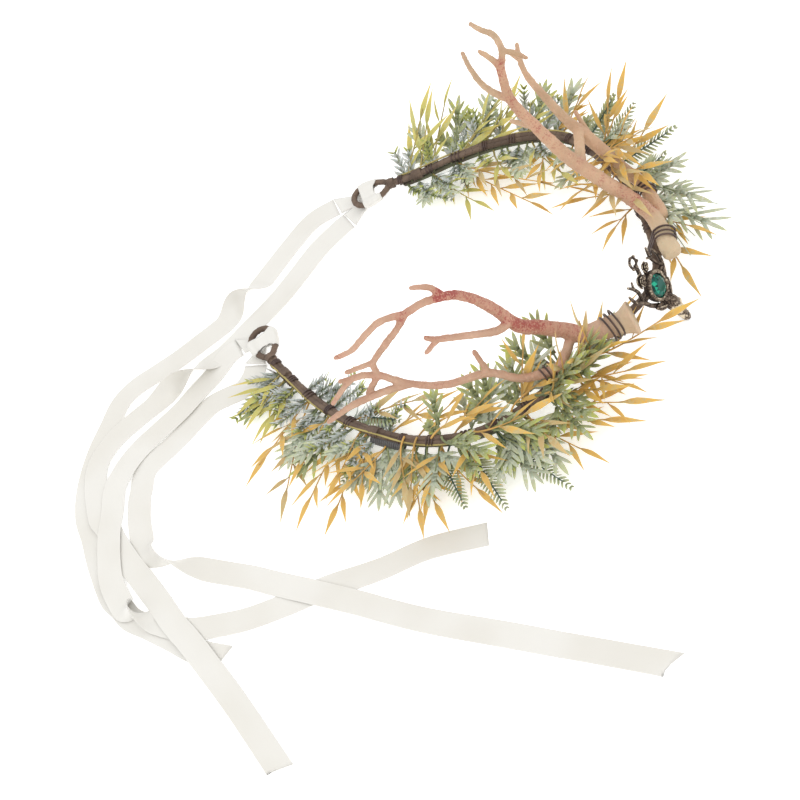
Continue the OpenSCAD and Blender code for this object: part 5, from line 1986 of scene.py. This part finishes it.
@dataclass
class Hitch:
    """Ribbon folded round both side wires of an end loop, with a tongue to each tail."""

    node: str
    neck: Row
    heading: float
    span: tuple[float, float]
    skew: float
    tongues: Sequence[Sequence[Row]]
    thick: float = 0.3

    def outline(self, r: float) -> list[tuple[float, float, float]]:
        """Section of the strap: share of the loop's half width, then how far out of it and how high."""
        arc = [(r * math.cos(math.radians(22.5 * k - 90)), r * math.sin(math.radians(22.5 * k - 90)))
               for k in range(9)]
        out = [(1.0, x, z) for x, z in arc]
        out += [(1 - 0.2 * k, 0.0, r * (0.4 + 0.6 * (1 - 0.2 * k) ** 2)) for k in range(1, 10)]
        out += [(-1.0, -x, -z) for x, z in arc]
        out += [(0.2 * k - 1, 0.0, -r * (0.4 + 0.6 * (1 - 0.2 * k) ** 2)) for k in range(1, 10)]
        return out

    def build(self) -> Object:
        """Makes the strap and its tongues."""
        shell = Shell()
        h = math.radians(self.heading)
        along = Vector((math.cos(h), math.sin(h), 0))
        side = Vector((-math.sin(h), math.cos(h), 0))
        neck = Vector((self.neck[0], self.neck[1], BAND_Z))
        steps = 14
        points: list[Vector] = []
        outer = LOOP_WIRE + 0.55
        for r in (outer, outer - self.thick):
            for i in range(steps + 1):
                t = i / steps
                for share, reach, high in self.outline(r):
                    low = self.span[0] + 2.6 * (1 - share * share)
                    u = low + (self.span[1] + self.skew * share - low) * t
                    c = 1 - 2 * u / LOOP_LEN
                    half = LOOP_WIDE / 2 * math.sqrt(max(0.0, 1 - c * c)) * (1 - LOOP_TAPER * c)
                    fold = 0.3 * math.sin(share * 9 + 1.4 * t) * (1 - 0.5 * t)
                    fold += 0.3 * noise.noise(Vector((share * 2.2, t * 1.6, self.heading)))
                    swell = 0.5 * noise.noise(Vector((t * 3.1, share, self.heading + 3))) if reach else 0.0
                    points.append(neck + along * u + side * (share * half + reach * (1 + 0.3 * swell))
                                  + Vector((0, 0, high * (1 + 0.3 * swell) + (fold if not reach else 0.0))))
        count = len(self.outline(outer))
        end, off = steps * count, (steps + 1) * count
        faces = lattice(steps + 1, count)
        faces += [(a, d, c, b) for a, b, c, d in lattice(steps + 1, count, off)]
        for k in range(count):
            j = (k + 1) % count
            faces += [(k, off + k, off + j, j), (end + k, end + j, off + end + j, off + end + k)]
        shell.add(to_row(points), faces)
        for corners in self.tongues:
            self.tongue(shell, [RING.table(c) for c in corners])
        made = shell.build(self.node + "_satin")
        tidy_normals(made)
        SATIN.lay_on(made)
        return settle(made, [self.node])

    def tongue(self, shell: Shell, c: Sequence[Vector]) -> None:
        """Adds a strip from the edge c0-c1 to the edge c2-c3."""
        steps, wide = 12, 7
        pinch, ripple, ripples = 0.16, 0.5 * MM, 9
        t = self.thick * MM / 2
        points: list[Vector] = []
        for i in range(steps + 1):
            u = i / steps
            bow = math.sin(math.pi * u)
            middle = c[0].lerp(c[1], 0.5).lerp(c[2].lerp(c[3], 0.5), u)
            for layer in (1, -1):
                for k in range(wide):
                    v = k / (wide - 1)
                    p = c[0].lerp(c[1], v).lerp(c[2].lerp(c[3], v), ease(u) * 0.4 + u * 0.6)
                    wave = ripple * bow * math.sin(v * ripples)
                    points.append(p.lerp(middle, pinch * bow) + Vector((0, 0, t * layer + wave)))
        shell.strip(points, wide)


def make_ties() -> list[Object]:
    """Winds the four antler ties."""
    ties = [Tie("tie_right_front", RIGHT_LINE, 189, RIGHT_LIMBS[0], 5.1, 1, False),
            Tie("tie_right_rear", RIGHT_LINE, 158, RIGHT_LIMBS[8], 2.4, 1, True),
            Tie("tie_left_front", LEFT_LINE, 171, LEFT_LIMBS[0], 4, -1, False),
            Tie("tie_left_rear", LEFT_LINE, 146, LEFT_LIMBS[6], 3, -1, True)]
    return [tie.build() for tie in ties]


def make_hitches() -> list[Object]:
    """Makes both ribbon hitches."""
    right = Hitch("ribbon_hitch_right", RIGHT_ARM[0], RIGHT_HEADING, (3.8, 13.4), -1.0,
                  [[[-26, 101, 1.65], [-30, 97, 1.65], [-28.5, 115, 1.65], [-35.1, 106.8, 1.65]],
                   [[-27, 101, 1.65], [-29.5, 98, 1.65], [-40.2, 104.7, 1.65], [-39.2, 94.4, 1.65]]])
    left = Hitch("ribbon_hitch_left", LEFT_ARM[0], LEFT_HEADING, (4.6, 13.4), 0.0,
                 [[[55, 78, 3.3], [49.5, 74, 3.3], [50.7, 97.5, 0.5], [43.2, 90.1, 0.5]],
                  [[54, 79.5, 3.3], [49, 75, 3.3], [42.9, 89, 0.5], [37.1, 80.2, 0.5]]])
    return [right.build(), left.build()]


def make_garlands() -> list[Object]:
    """Grows both garlands from the shared leaves."""
    bends = {LeafShape.WILLOW: (0.3, 0.6), LeafShape.LOBE: (0.1, 0.3), LeafShape.NEEDLE: (0.5, -0.4),
             LeafShape.LEAFLET: (0.25, 0.3)}
    templates = {shape: leaf_template(shape, fold, droop) for shape, (fold, droop) in bends.items()}
    right = Garland("garland_right", RIGHT_LINE, 1, 178, RIGHT_ROWS, 11, RIGHT_FILL, lime_until=30,
                    coil_at=73.0)
    left = Garland("garland_left", LEFT_LINE, -1, 166, LEFT_ROWS, 23, LEFT_FILL, lime_until=72, pale_from=120,
                   tan_share=0.15)
    made = right.build(templates) + left.build(templates)
    for leaf in templates.values():
        bpy.data.objects.remove(leaf)
    return made


def main() -> None:
    """Builds each sub-assembly in order and reports it."""
    logging.basicConfig(level=logging.INFO, format="%(message)s")
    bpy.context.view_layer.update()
    studio = Studio()
    studio.camera()
    EFFECTS.update({Effect.FLECK: fleck_group(), Effect.DRIFT: drift_group(), Effect.THREAD: thread_group()})
    TREES.update({Tree.SCATTER: scatter_tree(), Tree.WINDING: winding_tree(), Tree.COIL: coil_tree(),
                  Tree.BEADS: bead_tree()})
    ribbons = make_ribbons()
    LOG.info("ribbons: %d", len(ribbons))
    LOG.info("band: %d", len(Band().build()))
    right = AntlerPiece("antler_right", RIGHT_LIMBS, (-11, -72, 9), 0.84, 5.0, ANTLER, bare=11)
    left = AntlerPiece("antler_left", LEFT_LIMBS, (23, -79.5, 8), 0.6, 9.0, TAN_ANTLER,
                       burr=((0.5, 0.98), (0.5, 0.95), (0.4, 0.9), (0.3, 0.84), (0.05, 0.76)))
    LOG.info("antlers: %s", [right.build().name, left.build().name])
    LOG.info("garlands: %d", len(make_garlands()))
    LOG.info("brooch: %d", len(Brooch().build()))
    LOG.info("ties: %d", len(make_ties()))
    LOG.info("hitches: %d", len(make_hitches()))
    studio.floor()
    studio.lights()
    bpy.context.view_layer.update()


if __name__ == "__main__":
    main()
